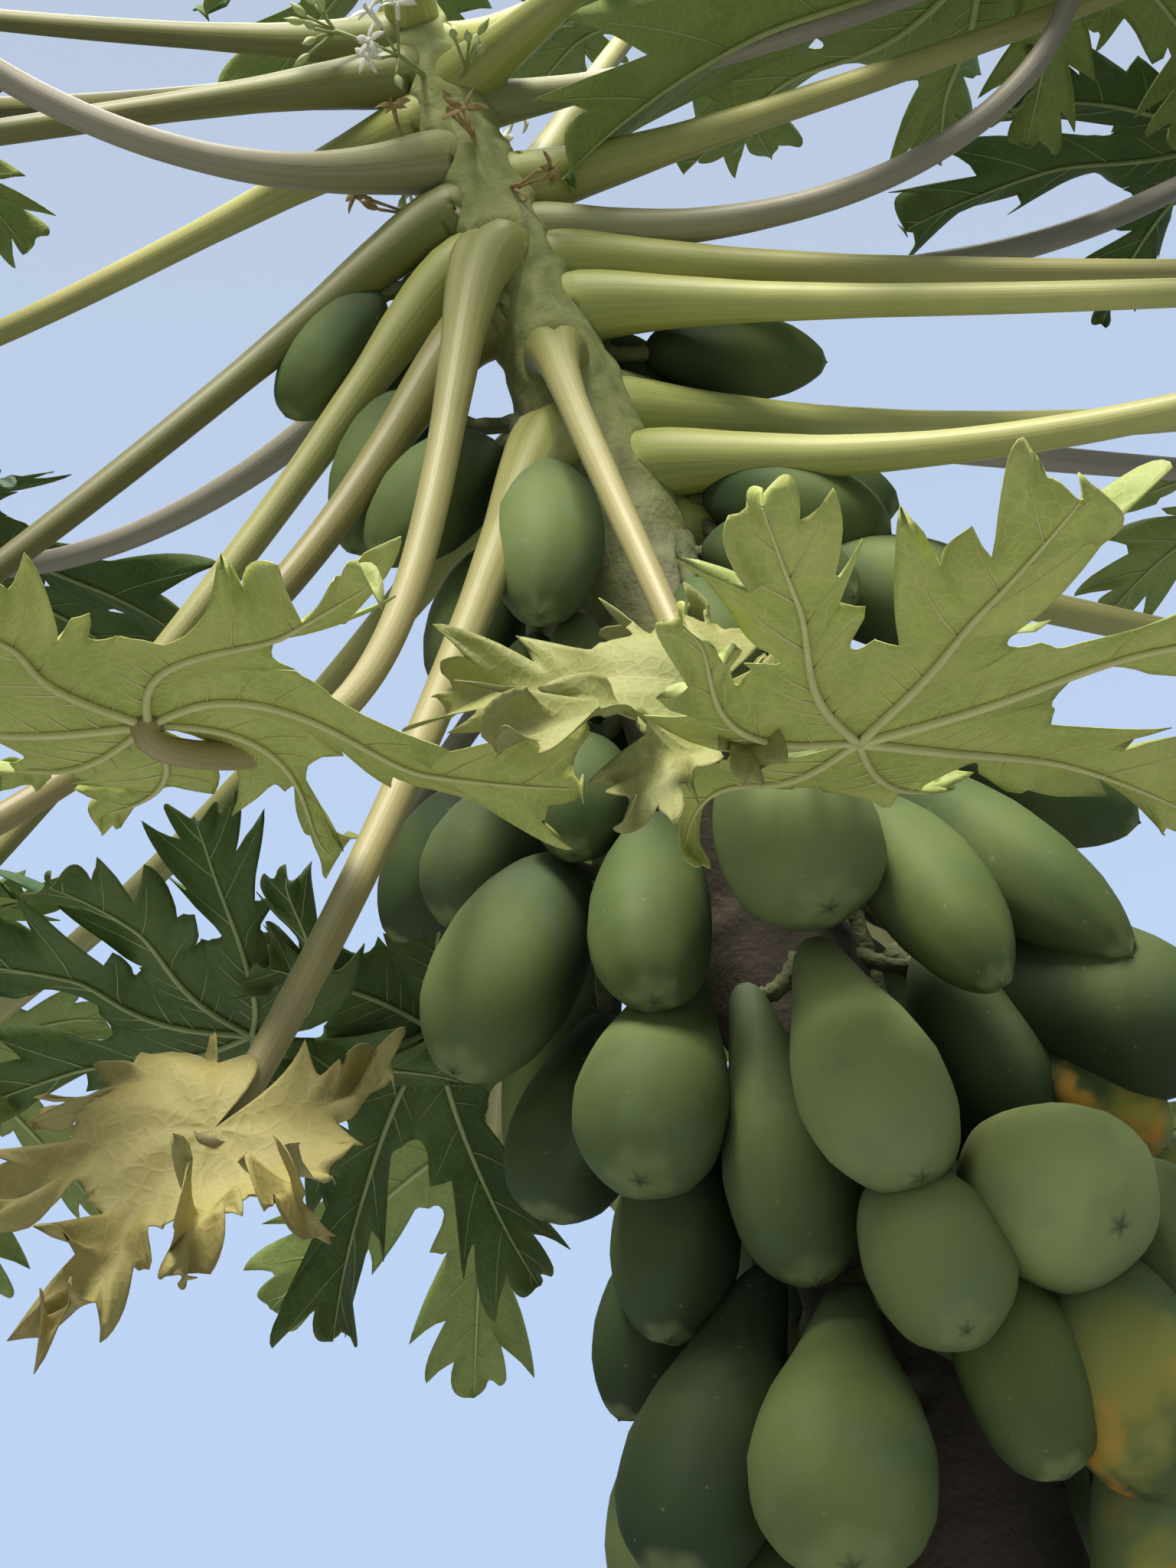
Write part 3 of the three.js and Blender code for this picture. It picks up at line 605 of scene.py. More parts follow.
# Painted shade: between about 1.75 m and 3.02 m, among the fruit, the bark is darkened to a near-black brown
# and its scar rims are dulled, partly the bark's own brown and partly the shade under the fruit.
brown_and_shade = np.clip((station_grid - 1.75) / 0.35, 0, 1) * np.clip((3.02 - station_grid) / 0.2, 0, 1)
trunk = skin("trunk_bark", rings, {
    "scar": scar_floor * fine, "rim": scar_rim * fine * (1 - .8 * brown_and_shade), "web": np.maximum(web, .7 * collar),
    "green": green, "brown_and_shade": brown_and_shade})
trunk.data.materials.append(bark.done())
only(trunk)
bpy.ops.object.shade_smooth()
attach(trunk, "root")
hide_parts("trunk")
print("trunk triangles:", 2 * len(trunk.data.polygons))

# %% [markdown]
# ## Leaf stalks
#
# A papaya leaf stalk is a long hollow tube. Its foot is swollen, clasps the stem and has a groove
# on top, and its colour runs from pale yellow-green at the foot to olive or purple-brown. A
# Bezier curve with a bevel would give a tube too, but no groove and no exact place. So each stalk
# follows its row of numbers: it turns evenly from one rise to the other, after a short socket.

# %% Stalk paths
STALK_STEPS = 48
STALK_SUNK = 0.016
SOCKET_LENGTH = 0.038
SOCKET_SHARE = 0.3
STALK_GIRTH = np.array([
    [0, .0330], [.012, .0345], [.04, .0325], [.10, .0258], [.20, .0188], [.32, .0152], [.6, .0130],
    [.85, .0115], [1, .0100]])
FULL_STALK = 0.900
BLADE_RAISE = 0.018
# How far short of the sheet a stalk ends, where it comes from below and where from above.
SEAT_BELOW = 0.001
SEAT_ABOVE = 0.006
FROM_ABOVE = -0.15
BLADE_DROOP = 0.16


def stalk_path(leaf):
    """Centre points of a stalk, with its heading and side at each."""
    station, bearing, rise_foot, rise_end, bend, length, turn = leaf[:7]
    step = length / STALK_STEPS
    index = np.arange(STALK_STEPS + 1)
    share = (index / STALK_STEPS) ** bend
    socket = 1 - (1 - SOCKET_SHARE) * np.exp(-index * step / SOCKET_LENGTH)
    heading = direction(bearing + turn * share, (rise_foot + (rise_end - rise_foot) * share) * socket)
    start = around(station, bearing, girth(station) - STALK_SUNK)
    steps = np.concatenate([np.zeros((1, 3)), np.cumsum(heading[:-1] * step, axis=0)])
    return start + steps, heading, direction(bearing + turn * share + 90, 0 * share)


def blade_seat(leaf, end, heading):
    """Where the blade sits on its stalk: hub, forward, side, normal, and which face is met."""
    bearing, turn, blade_turn, rise, roll = leaf[1], leaf[6], leaf[8], leaf[9], leaf[10]
    facing = bearing + turn + blade_turn
    ahead = direction(facing, rise)
    level = direction(facing + 90, 0.0)
    face = np.cross(ahead, level)
    side = level * math.cos(math.radians(roll)) + face * math.sin(math.radians(roll))
    normal = np.cross(ahead, side)
    under = 1 if heading @ normal > FROM_ABOVE else -1
    return end + normal * under * BLADE_RAISE, ahead, side, normal, under


def make_stalk(name, leaf, sides=24):
    """A stalk from the trunk to the underside of its blade."""
    path, heading, side = stalk_path(leaf)
    hub, _, _, normal, under = blade_seat(leaf, path[-1], heading[-1])
    size = math.sqrt(leaf[5] / FULL_STALK)
    share = np.arange(STALK_STEPS + 1) / STALK_STEPS
    radii = np.interp(share, STALK_GIRTH[:, 0], STALK_GIRTH[:, 1]) * size
    turn_in = np.array([[.2], [.5], [.8], [.97]])
    start, away = path[-2], heading[-1] * 0.03
    seat = hub - normal * under * (SEAT_BELOW if under > 0 else SEAT_ABOVE)
    flare = np.array([1, 1, 1.05, 1.25] if under > 0 else [1, .9, .7, .4])
    curve = (1 - turn_in) ** 2 * start + 2 * turn_in * (1 - turn_in) * (start + away) + turn_in ** 2 * seat
    points = np.concatenate([path[:-1], curve])
    sides_all = np.concatenate([side[:-1], np.repeat(side[-1:], len(curve), 0)])
    radii = np.concatenate([radii[:-1], radii[-1] * flare])
    dense = np.linspace(0, .06, 7)[1:-1] * STALK_STEPS
    places = np.arange(len(points))
    keys = np.unique(np.round(np.concatenate([places, dense]), 4))

    def spread(values):
        return np.stack([np.interp(keys, places, values[:, k]) for k in range(3)], -1)

    radii = np.interp(keys, places, radii)
    return tube(name, spread(points), radii, sides, spread(sides_all), groove=.42, groove_fade=.11 * size)


def stalk_finish(name, foot, middle, top):
    """Stalk finish from the colours of its foot, its middle and its top."""
    finish = Finish(name, middle, toned(middle, .84), scale=13, rough=.48)
    finish.over(foot, finish.field("along", .30, .02))
    finish.over(top, finish.field("along", .30, .95))
    # Painted shade: the lower side of the stalk is darker, most near its foot.
    finish.over(toned(middle, .62), finish.times(
        finish.field("upper", -.1, -.9, .45), finish.field("along", .5, .05)))
    finish.over(toned(middle, 1.3), finish.mask(streaks, .30, Across=26, Along=2))
    finish.over((.16, .11, .05), finish.mask(flecks, .5, Scale=160, Share=.05, Size=.25))
    finish.bump(finish.mask(streaks, Across=34, Along=1.5), .12, .001)
    return finish.done()


# The "shaded" colours are a darker copy of an olive finish: painted shade.
STALK_COLOURS = {
    "pale": [(.30, .31, .085), (.36, .33, .135), (.33, .27, .13)],
    "olive": [(.34, .36, .085), (.40, .39, .14), (.34, .30, .14)],
    "tan": [(.28, .28, .075), (.30, .26, .10), (.28, .22, .11)],
    "purple": [(.30, .31, .10), (.33, .30, .225), (.35, .305, .285)],
    "green": [(.42, .45, .12), (.52, .52, .19), (.47, .44, .19)],
    "shaded": [(.20, .215, .055), (.185, .185, .065), (.17, .15, .08)]}
STALK_FINISHES = {kind: stalk_finish("stalk_" + kind, *colours) for kind, colours in STALK_COLOURS.items()}
# The finish of each stalk by its leaf's number. The rest are olive.
STALK_KINDS = {17: "pale", 23: "pale", 28: "pale", 30: "tan", 21: "tan", 22: "green", 26: "green", 29: "green",
               2: "shaded", 4: "shaded", 5: "shaded", 13: "shaded", 9: "purple", 10: "purple", 14: "purple",
               15: "purple", 19: "purple", 25: "purple", 33: "purple"}
print("stalk finishes:", list(STALK_FINISHES))

# %% [markdown]
# ## Leaf blades
#
# A papaya blade is a star of seven lobes round the stalk's end, and each lobe is cut again into
# pointed side lobes along its own rib. The lobe is laid out in rows that follow the side veins,
# so an outline that points forwards needs no cutting. Near the stalk the rows end on the line
# half way to the next lobe, where both lobes share their points and are merged. The ribs lie
# on the underside as thin raised tubes. The sheet gets its thickness from a Solidify modifier,
# whose second skin takes the underside's colour. Arrays make the rows, because an outline like
# this can't be had from a primitive in any reasonable number of steps.

# %% One lobe of a blade
LOBES = [(-146, .6), (-96, .8), (-48, .94), (0, 1), (48, .94), (96, .8), (146, .6)]
WEB_REACH = 0.235
ROW_ANGLE = math.radians(55)
ROW_ANGLE_TIP = math.radians(32)
ENVELOPE = np.array([
    [0, .20], [.10, .22], [.25, .32], [.42, .40], [.58, .39], [.72, .30], [.84, .17], [.93, .075], [1, 0]])
WEB_ROWS = 9
TOOTH_ROWS = 10
TOOTH_TIP = 0.7
TOOTH_CUT = 0.5
COLUMNS = 5
FOLD_AT_HUB = 8
WIDEST_HALF_GAP = 27
# Where a blade has no next lobe, the angle to the open side stands for the gap.
OPEN_GAP = 68
# How far a lobe that isn't aimed turns off its flat place by chance, in radians, and how far each
# lobe's curl and twist differ from its leaf's style, in degrees.
LOOSE = 0.09
CURL_SPREAD = 9
TWIST_SPREAD = 12


def lobe_points(reach, share, gaps, curl, twist, fold, wave, rng, teeth):
    """Points of a lobe, with x along it, y across and z up: rows from the hub to the tip."""
    length = reach * share
    notch = WEB_REACH * reach
    outer = np.linspace(0, 1, teeth * TOOTH_ROWS + 1)[1:]
    along = np.concatenate([np.linspace(0, notch, WEB_ROWS), notch + (length - notch) * outer])
    out = np.concatenate([np.zeros(WEB_ROWS), outer])
    slope = -np.arctan(2 * BLADE_DROOP * along / reach) + np.radians(curl) * out ** 1.4
    step = np.diff(along, prepend=0)
    rho = np.cumsum(np.cos(slope) * step)
    rise = np.cumsum(np.sin(slope) * step)
    tangent = np.stack([np.cos(slope), 0 * slope, np.sin(slope)], -1)
    normal = np.stack([-np.sin(slope), 0 * slope, np.cos(slope)], -1)
    across = np.array([0, 1.0, 0]) + 0 * tangent
    roll = np.radians(twist) * out ** 1.2
    side = across * np.cos(roll)[:, None] + normal * np.sin(roll)[:, None]
    lift = -across * np.sin(roll)[:, None] + normal * np.cos(roll)[:, None]
    rib = np.stack([rho, 0 * rho, rise], -1)
    angle = ROW_ANGLE + (ROW_ANGLE_TIP - ROW_ANGLE) * out
    folded = np.radians(FOLD_AT_HUB) + np.radians(fold - FOLD_AT_HUB) * np.minimum(1, out * 2.2)
    halves, edges = [], []
    for sign, gap in zip((1, -1), gaps):
        tan = math.tan(math.radians(min(gap / 2, WIDEST_HALF_GAP)))
        bisector = rho * tan / (np.sin(angle) * np.cos(folded) - np.cos(angle) * np.cos(slope) * tan)
        bisector = np.where(bisector < 0, 9, bisector)
        own = (length - notch) * np.interp(out, ENVELOPE[:, 0], ENVELOPE[:, 1])
        shift = 0 if sign > 0 else .5
        phase = (out * teeth + shift) % 1
        rising = np.maximum(0, 1 - phase / TOOTH_TIP) ** 1.5
        falling = np.maximum(0, (phase - TOOTH_TIP) / (1 - TOOTH_TIP)) ** .75
        tooth = rising + falling
        depth = TOOTH_CUT * np.interp(out, [0, .12, .3, .75, .9, 1], [.2, .6, 1, .95, .35, 0])
        number = np.floor(out * teeth + shift).astype(int)
        size = rng.uniform(.84, 1.12, teeth + 2)[number]
        size = 1 + (size - 1) * np.interp(out, [0, .2, .85, 1], [0, 1, 1, 0])
        own = own * (1 - depth * tooth) * size
        join_up = bisector[WEB_ROWS - 1]
        width = own + (join_up - own[WEB_ROWS]) * np.exp(-out / .05)
        width = np.where(out > 0, np.minimum(width, bisector * .97), bisector)
        reach_out = (np.arange(COLUMNS + 1) / COLUMNS) ** .9
        q = width[:, None] * reach_out
        edge = reach_out[None] * np.ones_like(q)
        bend = .55 * np.minimum(1, out * 4)[:, None] * q ** 2 / (length * .5)
        ripple = wave * reach * np.minimum(1, out * 3)[:, None] * edge ** 2 * np.sin(
            along[:, None] / reach * 17 + rng.uniform(0, 6))
        curls = rng.uniform(-1, 1, teeth + 2)[number] * np.minimum(1, out * 3)
        ripple = ripple + 1.1 * wave * reach * curls[:, None] * edge ** 3 * (q / (length * .3))
        points = (rib[:, None] + tangent[:, None] * (q * np.cos(angle)[:, None] + bend)[..., None]
                  + side[:, None] * (sign * q * np.sin(angle)[:, None] * np.cos(folded)[:, None])[..., None]
                  + lift[:, None] * (q * np.sin(angle)[:, None] * np.sin(folded)[:, None] + ripple)[..., None])
        halves.append(points)
        edges.append(edge * np.minimum(1, .3 + out)[:, None])
    return halves, edges, rib, lift


def sheet_faces(rows, columns, offset, turned):
    """Quads of an open sheet of points, turned over for one of a lobe's halves."""
    row, column = np.meshgrid(np.arange(rows - 1), np.arange(columns - 1), indexing="ij")
    low = offset + row * columns + column
    quads = np.stack([low, low + columns, low + columns + 1, low + 1], -1).reshape(-1, 4)
    return quads[:, ::-1] if turned else quads


print("points of a lobe with four teeth:", 2 * (WEB_ROWS + 4 * TOOTH_ROWS) * (COLUMNS + 1))


# %% Ribs as bars, and lobes turned about the hub
BLADE_THICK = 0.0009
NOTCH_OUT = WEB_REACH * 1.59
FULL_REACH = 0.370
RIB_RADIUS = 0.0038
VEIN_RADIUS = 0.0011
# Rows of the web near the hub that carry a side vein too.
HUB_VEINS = [3, 5, 7]


def bar(path, radii, lifts, sides=4):
    """Rings of a thin bar along a path, flattened to the sheet."""
    heading = unit(np.gradient(path, axis=0))
    side = unit(np.cross(heading, lifts))
    angle = 2 * np.pi * (np.arange(sides) + .5) / sides
    return rings_along(path, radii[:, None], angle, side, np.cross(side, heading))


def turn_between(flat, aim):
    """The turn, as an axis times an angle, that takes one direction to another."""
    axis = np.cross(flat, aim)
    size = np.linalg.norm(axis)
    return axis / max(size, 1e-9) * math.atan2(size, flat @ aim)


def swung(points, own, other, half_gap, to_blade, reach):
    """Points of a lobe turned about the hub, in the blade's frame. Near the hub nothing turns, and
    at the line to the next lobe both lobes turn alike, so their shared points stay together."""
    out = np.hypot(points[..., 0], points[..., 1])
    off_rib = np.abs(np.arctan2(points[..., 1], points[..., 0]))
    near = np.clip(1 - (out / reach - NOTCH_OUT) / .05, 0, 1)
    shared = .5 * np.clip(off_rib / half_gap, 0, 1) * near
    weight = np.clip((out / reach - .05) / .5, 0, 1)
    weight = weight * weight * (3 - 2 * weight)
    turn = (own * (1 - shared[..., None]) + other * shared[..., None]) * weight[..., None]
    angle = np.linalg.norm(turn, axis=-1, keepdims=True)
    axis = turn / np.maximum(angle, 1e-9)
    placed = points @ to_blade
    along = (axis * placed).sum(-1, keepdims=True)
    cos, sin = np.cos(angle), np.sin(angle)
    return placed * cos + np.cross(axis, placed) * sin + axis * along * (1 - cos)


def bars_to_mesh(name, bars, material):
    """All the bars of a blade as one mesh, made from arrays."""
    verts, faces, count = [], [], 0
    for rings in bars:
        rows, sides = rings.shape[:2]
        faces.extend(skin_faces(rows, sides, count))
        faces.append([count + k for k in reversed(range(sides))])
        faces.append([count + (rows - 1) * sides + k for k in range(sides)])
        verts.append(rings.reshape(-1, 3))
        count += rows * sides
    return new_object(name, np.concatenate(verts), faces, material=material)


# %% A whole blade: sheet, thickness and raised ribs
def make_blade(name, leaf, style, seed):
    """The sheet of a leaf with its ribs, in place, as two objects."""
    path, heading, _ = stalk_path(leaf)
    hub, ahead, side, normal, under = blade_seat(leaf, path[-1], heading[-1])
    reach = leaf[7]
    rng = np.random.default_rng(seed)
    verts, faces, margin, bars = [], [], [], []
    count = 0
    angles = [angle for angle, _ in LOBES]
    blade, shapes = np.stack([ahead, side, normal]), []
    for number, (angle, share) in enumerate(LOBES):
        before = angles[number] - angles[number - 1] if number else OPEN_GAP
        after = angles[number + 1] - angles[number] if number + 1 < len(LOBES) else OPEN_GAP
        curl = style["curl"][number] + rng.uniform(-CURL_SPREAD, CURL_SPREAD)
        twist = style["twist"][number] + rng.uniform(-TWIST_SPREAD, TWIST_SPREAD)
        teeth = 4 if share > .7 else 3
        aim = style.get("aim", {}).get(angle)
        share = share * (aim[2] if aim else 1)
        halves, edges, rib, lift = lobe_points(
            reach, share, (after, before), curl, twist, style["fold"], style["wave"], rng, teeth)
        cos, sin = math.cos(math.radians(angle)), math.sin(math.radians(angle))
        to_blade = np.array([[cos, sin, 0], [-sin, cos, 0], [0, 0, 1.0]])
        if aim:
            turn = turn_between(unit(rib[-1] @ to_blade), direction(*np.array(aim[:2], float)))
        else:
            turn = rng.normal(0, LOOSE, 3)
        shapes.append((halves, edges, rib, lift, to_blade, turn, teeth, share, (after, before)))
    for number, (halves, edges, rib, lift, to_blade, own, teeth, share, gaps) in enumerate(shapes):
        others = [shapes[number + step][5] if 0 <= number + step < len(shapes) else own for step in (1, -1)]
        half_gaps = [math.radians(min(gap / 2, WIDEST_HALF_GAP)) for gap in gaps]

        def placed(points, which):
            return hub + swung(points, own, others[which], half_gaps[which], to_blade, reach) @ blade

        def lifted(points, lifts, which):
            return unit(placed(points + lifts * 1e-4, which) - placed(points, which))

        for which, (half, edge) in enumerate(zip(halves, edges)):
            rows, columns = half.shape[:2]
            verts.append(placed(half, which).reshape(-1, 3))
            faces.append(sheet_faces(rows, columns, count, which == 1))
            margin.append(edge.reshape(-1))
            count += rows * columns
        slim = np.linspace(1, .12, len(rib)) ** .8
        lifts = lifted(rib, lift, 0)
        world_rib = placed(rib, 0)
        size = RIB_RADIUS * (reach / FULL_REACH) * share ** .4
        bars.append(bar(world_rib - lifts * (BLADE_THICK + size * slim[:, None] * .55), size * slim, lifts, 6))
        for which, (half, shift) in enumerate(zip(halves, (0, .5))):
            tooth_rows = [round((tooth + TOOTH_TIP - shift) * TOOTH_ROWS) for tooth in range(teeth)]
            side_veins = [WEB_ROWS - 1 + row for row in tooth_rows]
            side_veins = [row for row in side_veins if 3 <= row <= len(half) - 3]
            for row in side_veins + HUB_VEINS:
                line = half[row][:-1]
                vein = placed(line, which)
                thin = np.linspace(1, .25, len(vein)) * VEIN_RADIUS * (reach / FULL_REACH)
                vein_lift = lifted(line, np.repeat(lift[row][None], len(line), 0), which)
                bars.append(bar(vein - vein_lift * (BLADE_THICK + thin[:, None] * .4), thin, vein_lift, 3))
    sheet = new_object(name, np.concatenate(verts), np.concatenate(faces).tolist(),
                       {"margin": np.concatenate(margin)})
    only(sheet)
    bpy.ops.object.mode_set(mode="EDIT")
    bpy.ops.mesh.select_all(action="SELECT")
    bpy.ops.mesh.remove_doubles(threshold=0.0004)
    bpy.ops.mesh.dissolve_degenerate(threshold=0.0001)
    bpy.ops.object.mode_set(mode="OBJECT")
    sheet.data.materials.append(style["top"])
    sheet.data.materials.append(style["underside"])
    thick = sheet.modifiers.new("thickness", "SOLIDIFY")
    thick.thickness = BLADE_THICK
    thick.offset = -1
    thick.material_offset = 1
    thick.material_offset_rim = 1
    bpy.ops.object.modifier_apply(modifier="thickness")
    return sheet, bars_to_mesh(name + "_ribs", bars, style["rib"])


# %% Blade finishes
def blade_finish(name, first, second, edge, net_weight):
    """A blade's face: two close tones, a fine net of veins and a tinted margin."""
    finish = Finish(name, first, second, scale=16, rough=.6)
    finish.shader.inputs["Specular IOR Level"].default_value = .3
    finish.over(toned(first, .72), finish.mask(mottle, .35, Scale=7, Low=.5, High=.68))
    finish.over(toned(first, 1.4, .02), finish.mask(net, net_weight, Scale=88, Width=.11))
    finish.over(edge, finish.field("margin", .78, 1.0, .55))
    finish.over(toned(first, 1.35, .02), finish.mask(flecks, .35, Scale=75, Share=.06, Size=.22))
    finish.bump(finish.mask(mottle, Scale=60, Low=.3, High=.7), .25, .0012)
    finish.bump(finish.mask(net, Scale=88, Width=.18), .3, .0008)
    finish.bump(finish.mask(mottle, Scale=220, Low=.3, High=.7), .2, .0005)
    return finish.done()


def rib_finish(name, first, second):
    """The ribs on a blade's underside: two close tones."""
    return Finish(name, first, second, scale=40, rough=.5).done()


# For each kind: three colours of the top, three of the underside, two of the ribs, and how
# strongly the net of veins shows.
# The underside's colours are paler than the top's: partly the leaf's own paler underside, partly painted light
# that shines through the blade.
BLADE_COLOURS = {
    "green": [[(.058, .118, .030), (.088, .155, .042), (.12, .18, .055)],
              [(.20, .27, .070), (.26, .32, .090), (.28, .33, .10)],
              [(.42, .46, .20), (.36, .42, .17)], .42],
    "dark": [[(.04, .10, .035), (.065, .135, .045), (.10, .16, .05)],
             [(.062, .105, .022), (.095, .14, .032), (.14, .18, .05)],
             [(.34, .40, .16), (.26, .33, .12)], .42],
    "yellow_green": [[(.27, .33, .085), (.35, .39, .125), (.40, .41, .15)],
                     [(.37, .42, .10), (.46, .49, .14), (.52, .53, .17)],
                     [(.62, .60, .27), (.55, .55, .23)], .42],
    "pale": [[(.31, .305, .105), (.26, .275, .090), (.36, .33, .125)],
             [(.31, .315, .110), (.26, .28, .092), (.36, .33, .130)],
             [(.48, .45, .19), (.43, .42, .17)], .2],
    "withered": [[(.42, .365, .130), (.30, .25, .080), (.20, .11, .035)],
                 [(.39, .345, .130), (.33, .30, .100), (.22, .13, .045)],
                 [(.38, .33, .14), (.33, .29, .12)], .12]}
BLADE_FINISHES = {
    kind: (blade_finish(f"blade_{kind}_top", *top, net_weight),
           blade_finish(f"blade_{kind}_under", *under, net_weight), rib_finish(f"rib_{kind}", *rib))
    for kind, (top, under, rib, net_weight) in BLADE_COLOURS.items()}
# The kind of each blade that isn't green, by its leaf's number.
BLADE_KINDS = {17: "yellow_green", 30: "yellow_green", 23: "pale", 28: "withered", 15: "dark", 19: "dark",
               33: "dark", 34: "dark"}
print("blade finishes:", list(BLADE_FINISHES))

# %% [markdown]
# ## Dressing every leaf
#
# Each leaf becomes one piece with its stalk, its sheet and its ribs, and takes the place of its
# solid. Most leaves share one way of hanging, with small differences from a seed of their own.
# The leaves whose blades show in the photograph have their own curls and folds, and their lobes
# are aimed one by one, so each tip lies where it is seen.

# %% Leaves
# Under "aim", a lobe that is named by its own angle has its tip turned to this angle and rise in
# the blade's frame, and its length changed by this factor.
PLAIN_STYLE = {"curl": [-20, -26, -18, -14, -18, -26, -20], "twist": [0] * 7, "fold": 12, "wave": .030}
STYLES = {
    17: {"curl": [10, 0, -8, 4, 10, 14, 10], "twist": [0, 0, 0, 0, 20, -20, 20], "fold": 18, "wave": .050,
         "aim": {-146: (-116, 6, .8), -96: (-91, 11, .8), -48: (-64, 11, .9), 0: (23, -11, .9),
                 48: (77, -10, .9), 96: (137, -13, 1.06), 146: (188, -10, .95)}},
    30: {"curl": [10, 30, 24, -6, -10, 10, -90], "fold": 16, "wave": .050,
         "aim": {-146: (-105, 4, .95), -96: (-85, 6, 1), -48: (-54, -3, 1), 48: (55, -4, 1), 96: (79, 7, .6),
                 146: (148, 1, .95)}},
    23: {"curl": [-10, 10, 10, 0, -14, -20, -10], "twist": [0, 20, -30, 30, -20, 0, 0],
         "fold": 24, "wave": .060,
         "aim": {-146: (-132, -25, .8), -96: (-115, -34, .8), -48: (-65, -36, 1), 0: (-2, 18, .95),
                 48: (23, 17, .9), 96: (49, 29, .8), 146: (175, -37, .8)}},
    28: {"curl": [-50, -40, 30, 40, -30, -60, 30], "twist": [50, -40, 45, 20, -45, 40, -30],
         "fold": 48, "wave": .105,
         "aim": {-146: (-109, -39, .6), -96: (-75, -35, .7), -48: (-30, -10, .8), 0: (13, 7, .8),
                 48: (38, 21, .7), 96: (71, 24, .8), 146: (165, -15, .95)}},
    33: {"curl": [-10, -16, -10, -10, -10, -16, -10], "fold": 14, "wave": .040,
         "aim": {-146: (-170, -4, .95), -96: (-112, -15, .95), -48: (-30, -6, .95), 0: (35, -8, .95),
                 48: (58, -1, .95), 96: (77, 19, .95), 146: (98, 20, .95)}},
    9: {"curl": [-16, -16, -10, -6, -10, -16, -16], "fold": 14, "wave": .035,
        "aim": {0: (0, -8, 1.1), -48: (-48, 14, .9), -96: (-94, 3, .9), -146: (-146, 0, .6)}},
    19: {"curl": [-16, -16, -6, -6, -10, -16, -16], "fold": 14, "wave": .035,
         "aim": {-48: (-49, 2, 1.09), 0: (-2, -6, .97)}}}


LEAF_SEED = 100
YOUNG_SEED = 300


def make_leaf(number, leaf):
    """One leaf as one piece: stalk, blade and ribs."""
    name = f"leaf_{number:02d}"
    kind = BLADE_KINDS.get(number, "green")
    top, underside, rib = BLADE_FINISHES[kind]
    style = {**PLAIN_STYLE, **STYLES.get(number, {}), "top": top, "underside": underside, "rib": rib}
    sheet, ribs = make_blade(name + "_sheet", leaf, style, LEAF_SEED + number)
    stalk = make_stalk(name + "_stalk", leaf)
    stalk.data.materials.append(STALK_FINISHES[STALK_KINDS.get(number, "olive")])
    whole = join([sheet, ribs, stalk], name + "_dressed")
    bpy.ops.object.shade_smooth()
    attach(whole, "root")
    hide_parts(name)
    return whole


leaf_pieces = [make_leaf(number + 1, leaf) for number, leaf in enumerate(LEAVES)]
print("leaves:", len(leaf_pieces), "faces in all:", sum(len(piece.data.polygons) for piece in leaf_pieces))

# %% [markdown]
# ## Growing tip
#
# The photograph doesn't show the tip. It is a short cone with the youngest leaves round it, still
# small and upright. They are grown by the same functions as the old ones, with short rows of
# their own.

# %% Growing tip
YOUNG_LEAVES = np.array([
    [3.862, -60, 68, 68, 1, .260, 0, .140, 0, 14, 0],
    [3.844, 90, 60, 60, 1, .360, 0, .190, 0, 14, 0],
    [3.822, 200, 58, 58, 1, .420, 0, .200, 0, 14, 0]])
TIP_GIRTH = np.array([[3.7804, .024], [3.80, .0215], [3.83, .018], [3.86, .0115], [3.885, .006], [3.890, .002]])
tip_stations = np.linspace(TIP_GIRTH[0, 0], TIP_GIRTH[-1, 0], 18)
tip_angle = 2 * np.pi * np.arange(24) / 24
tip_radius = np.interp(tip_stations, TIP_GIRTH[:, 0], TIP_GIRTH[:, 1])
tip_edges = 1 + .06 * np.cos(5 * tip_angle)
tip_rings = (trunk_point(tip_stations)[:, None] + tip_radius[:, None, None] * tip_edges[None, :, None]
             * outwards(tip_stations[:, None], np.degrees(tip_angle)[None]))
tip = skin("tip_cone", tip_rings)
tip_finish = Finish("tip_finish", (.30, .38, .12), (.42, .48, .20), scale=40, rough=.6)
tip.data.materials.append(tip_finish.done())
parts = [tip]
for number, leaf in enumerate(YOUNG_LEAVES):
    top, underside, rib = BLADE_FINISHES["green"]
    style = {**PLAIN_STYLE, "curl": [30] * 7, "fold": 26, "top": top, "underside": underside, "rib": rib}
    sheet, ribs = make_blade(f"young_{number}_sheet", leaf, style, YOUNG_SEED + number)
    stalk = make_stalk(f"young_{number}_stalk", leaf, sides=10)
    stalk.data.materials.append(STALK_FINISHES["green"])
    parts += [sheet, ribs, stalk]
growing_tip = join(parts, "growing_tip_dressed")
bpy.ops.object.shade_smooth()
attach(growing_tip, "root")
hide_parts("growing_tip")
print("growing tip faces:", len(growing_tip.data.polygons))

# %% [markdown]
# ## Fruit
#
# The fruit is one shape in many sizes: narrow at the stem, widest below the middle, with a blunt
# end and a small nipple. It starts as a UV sphere that is shaped in edit mode, and each fruit is
# a copy of that mesh, stretched to its own length and width, with its own neck, ribs and bend.

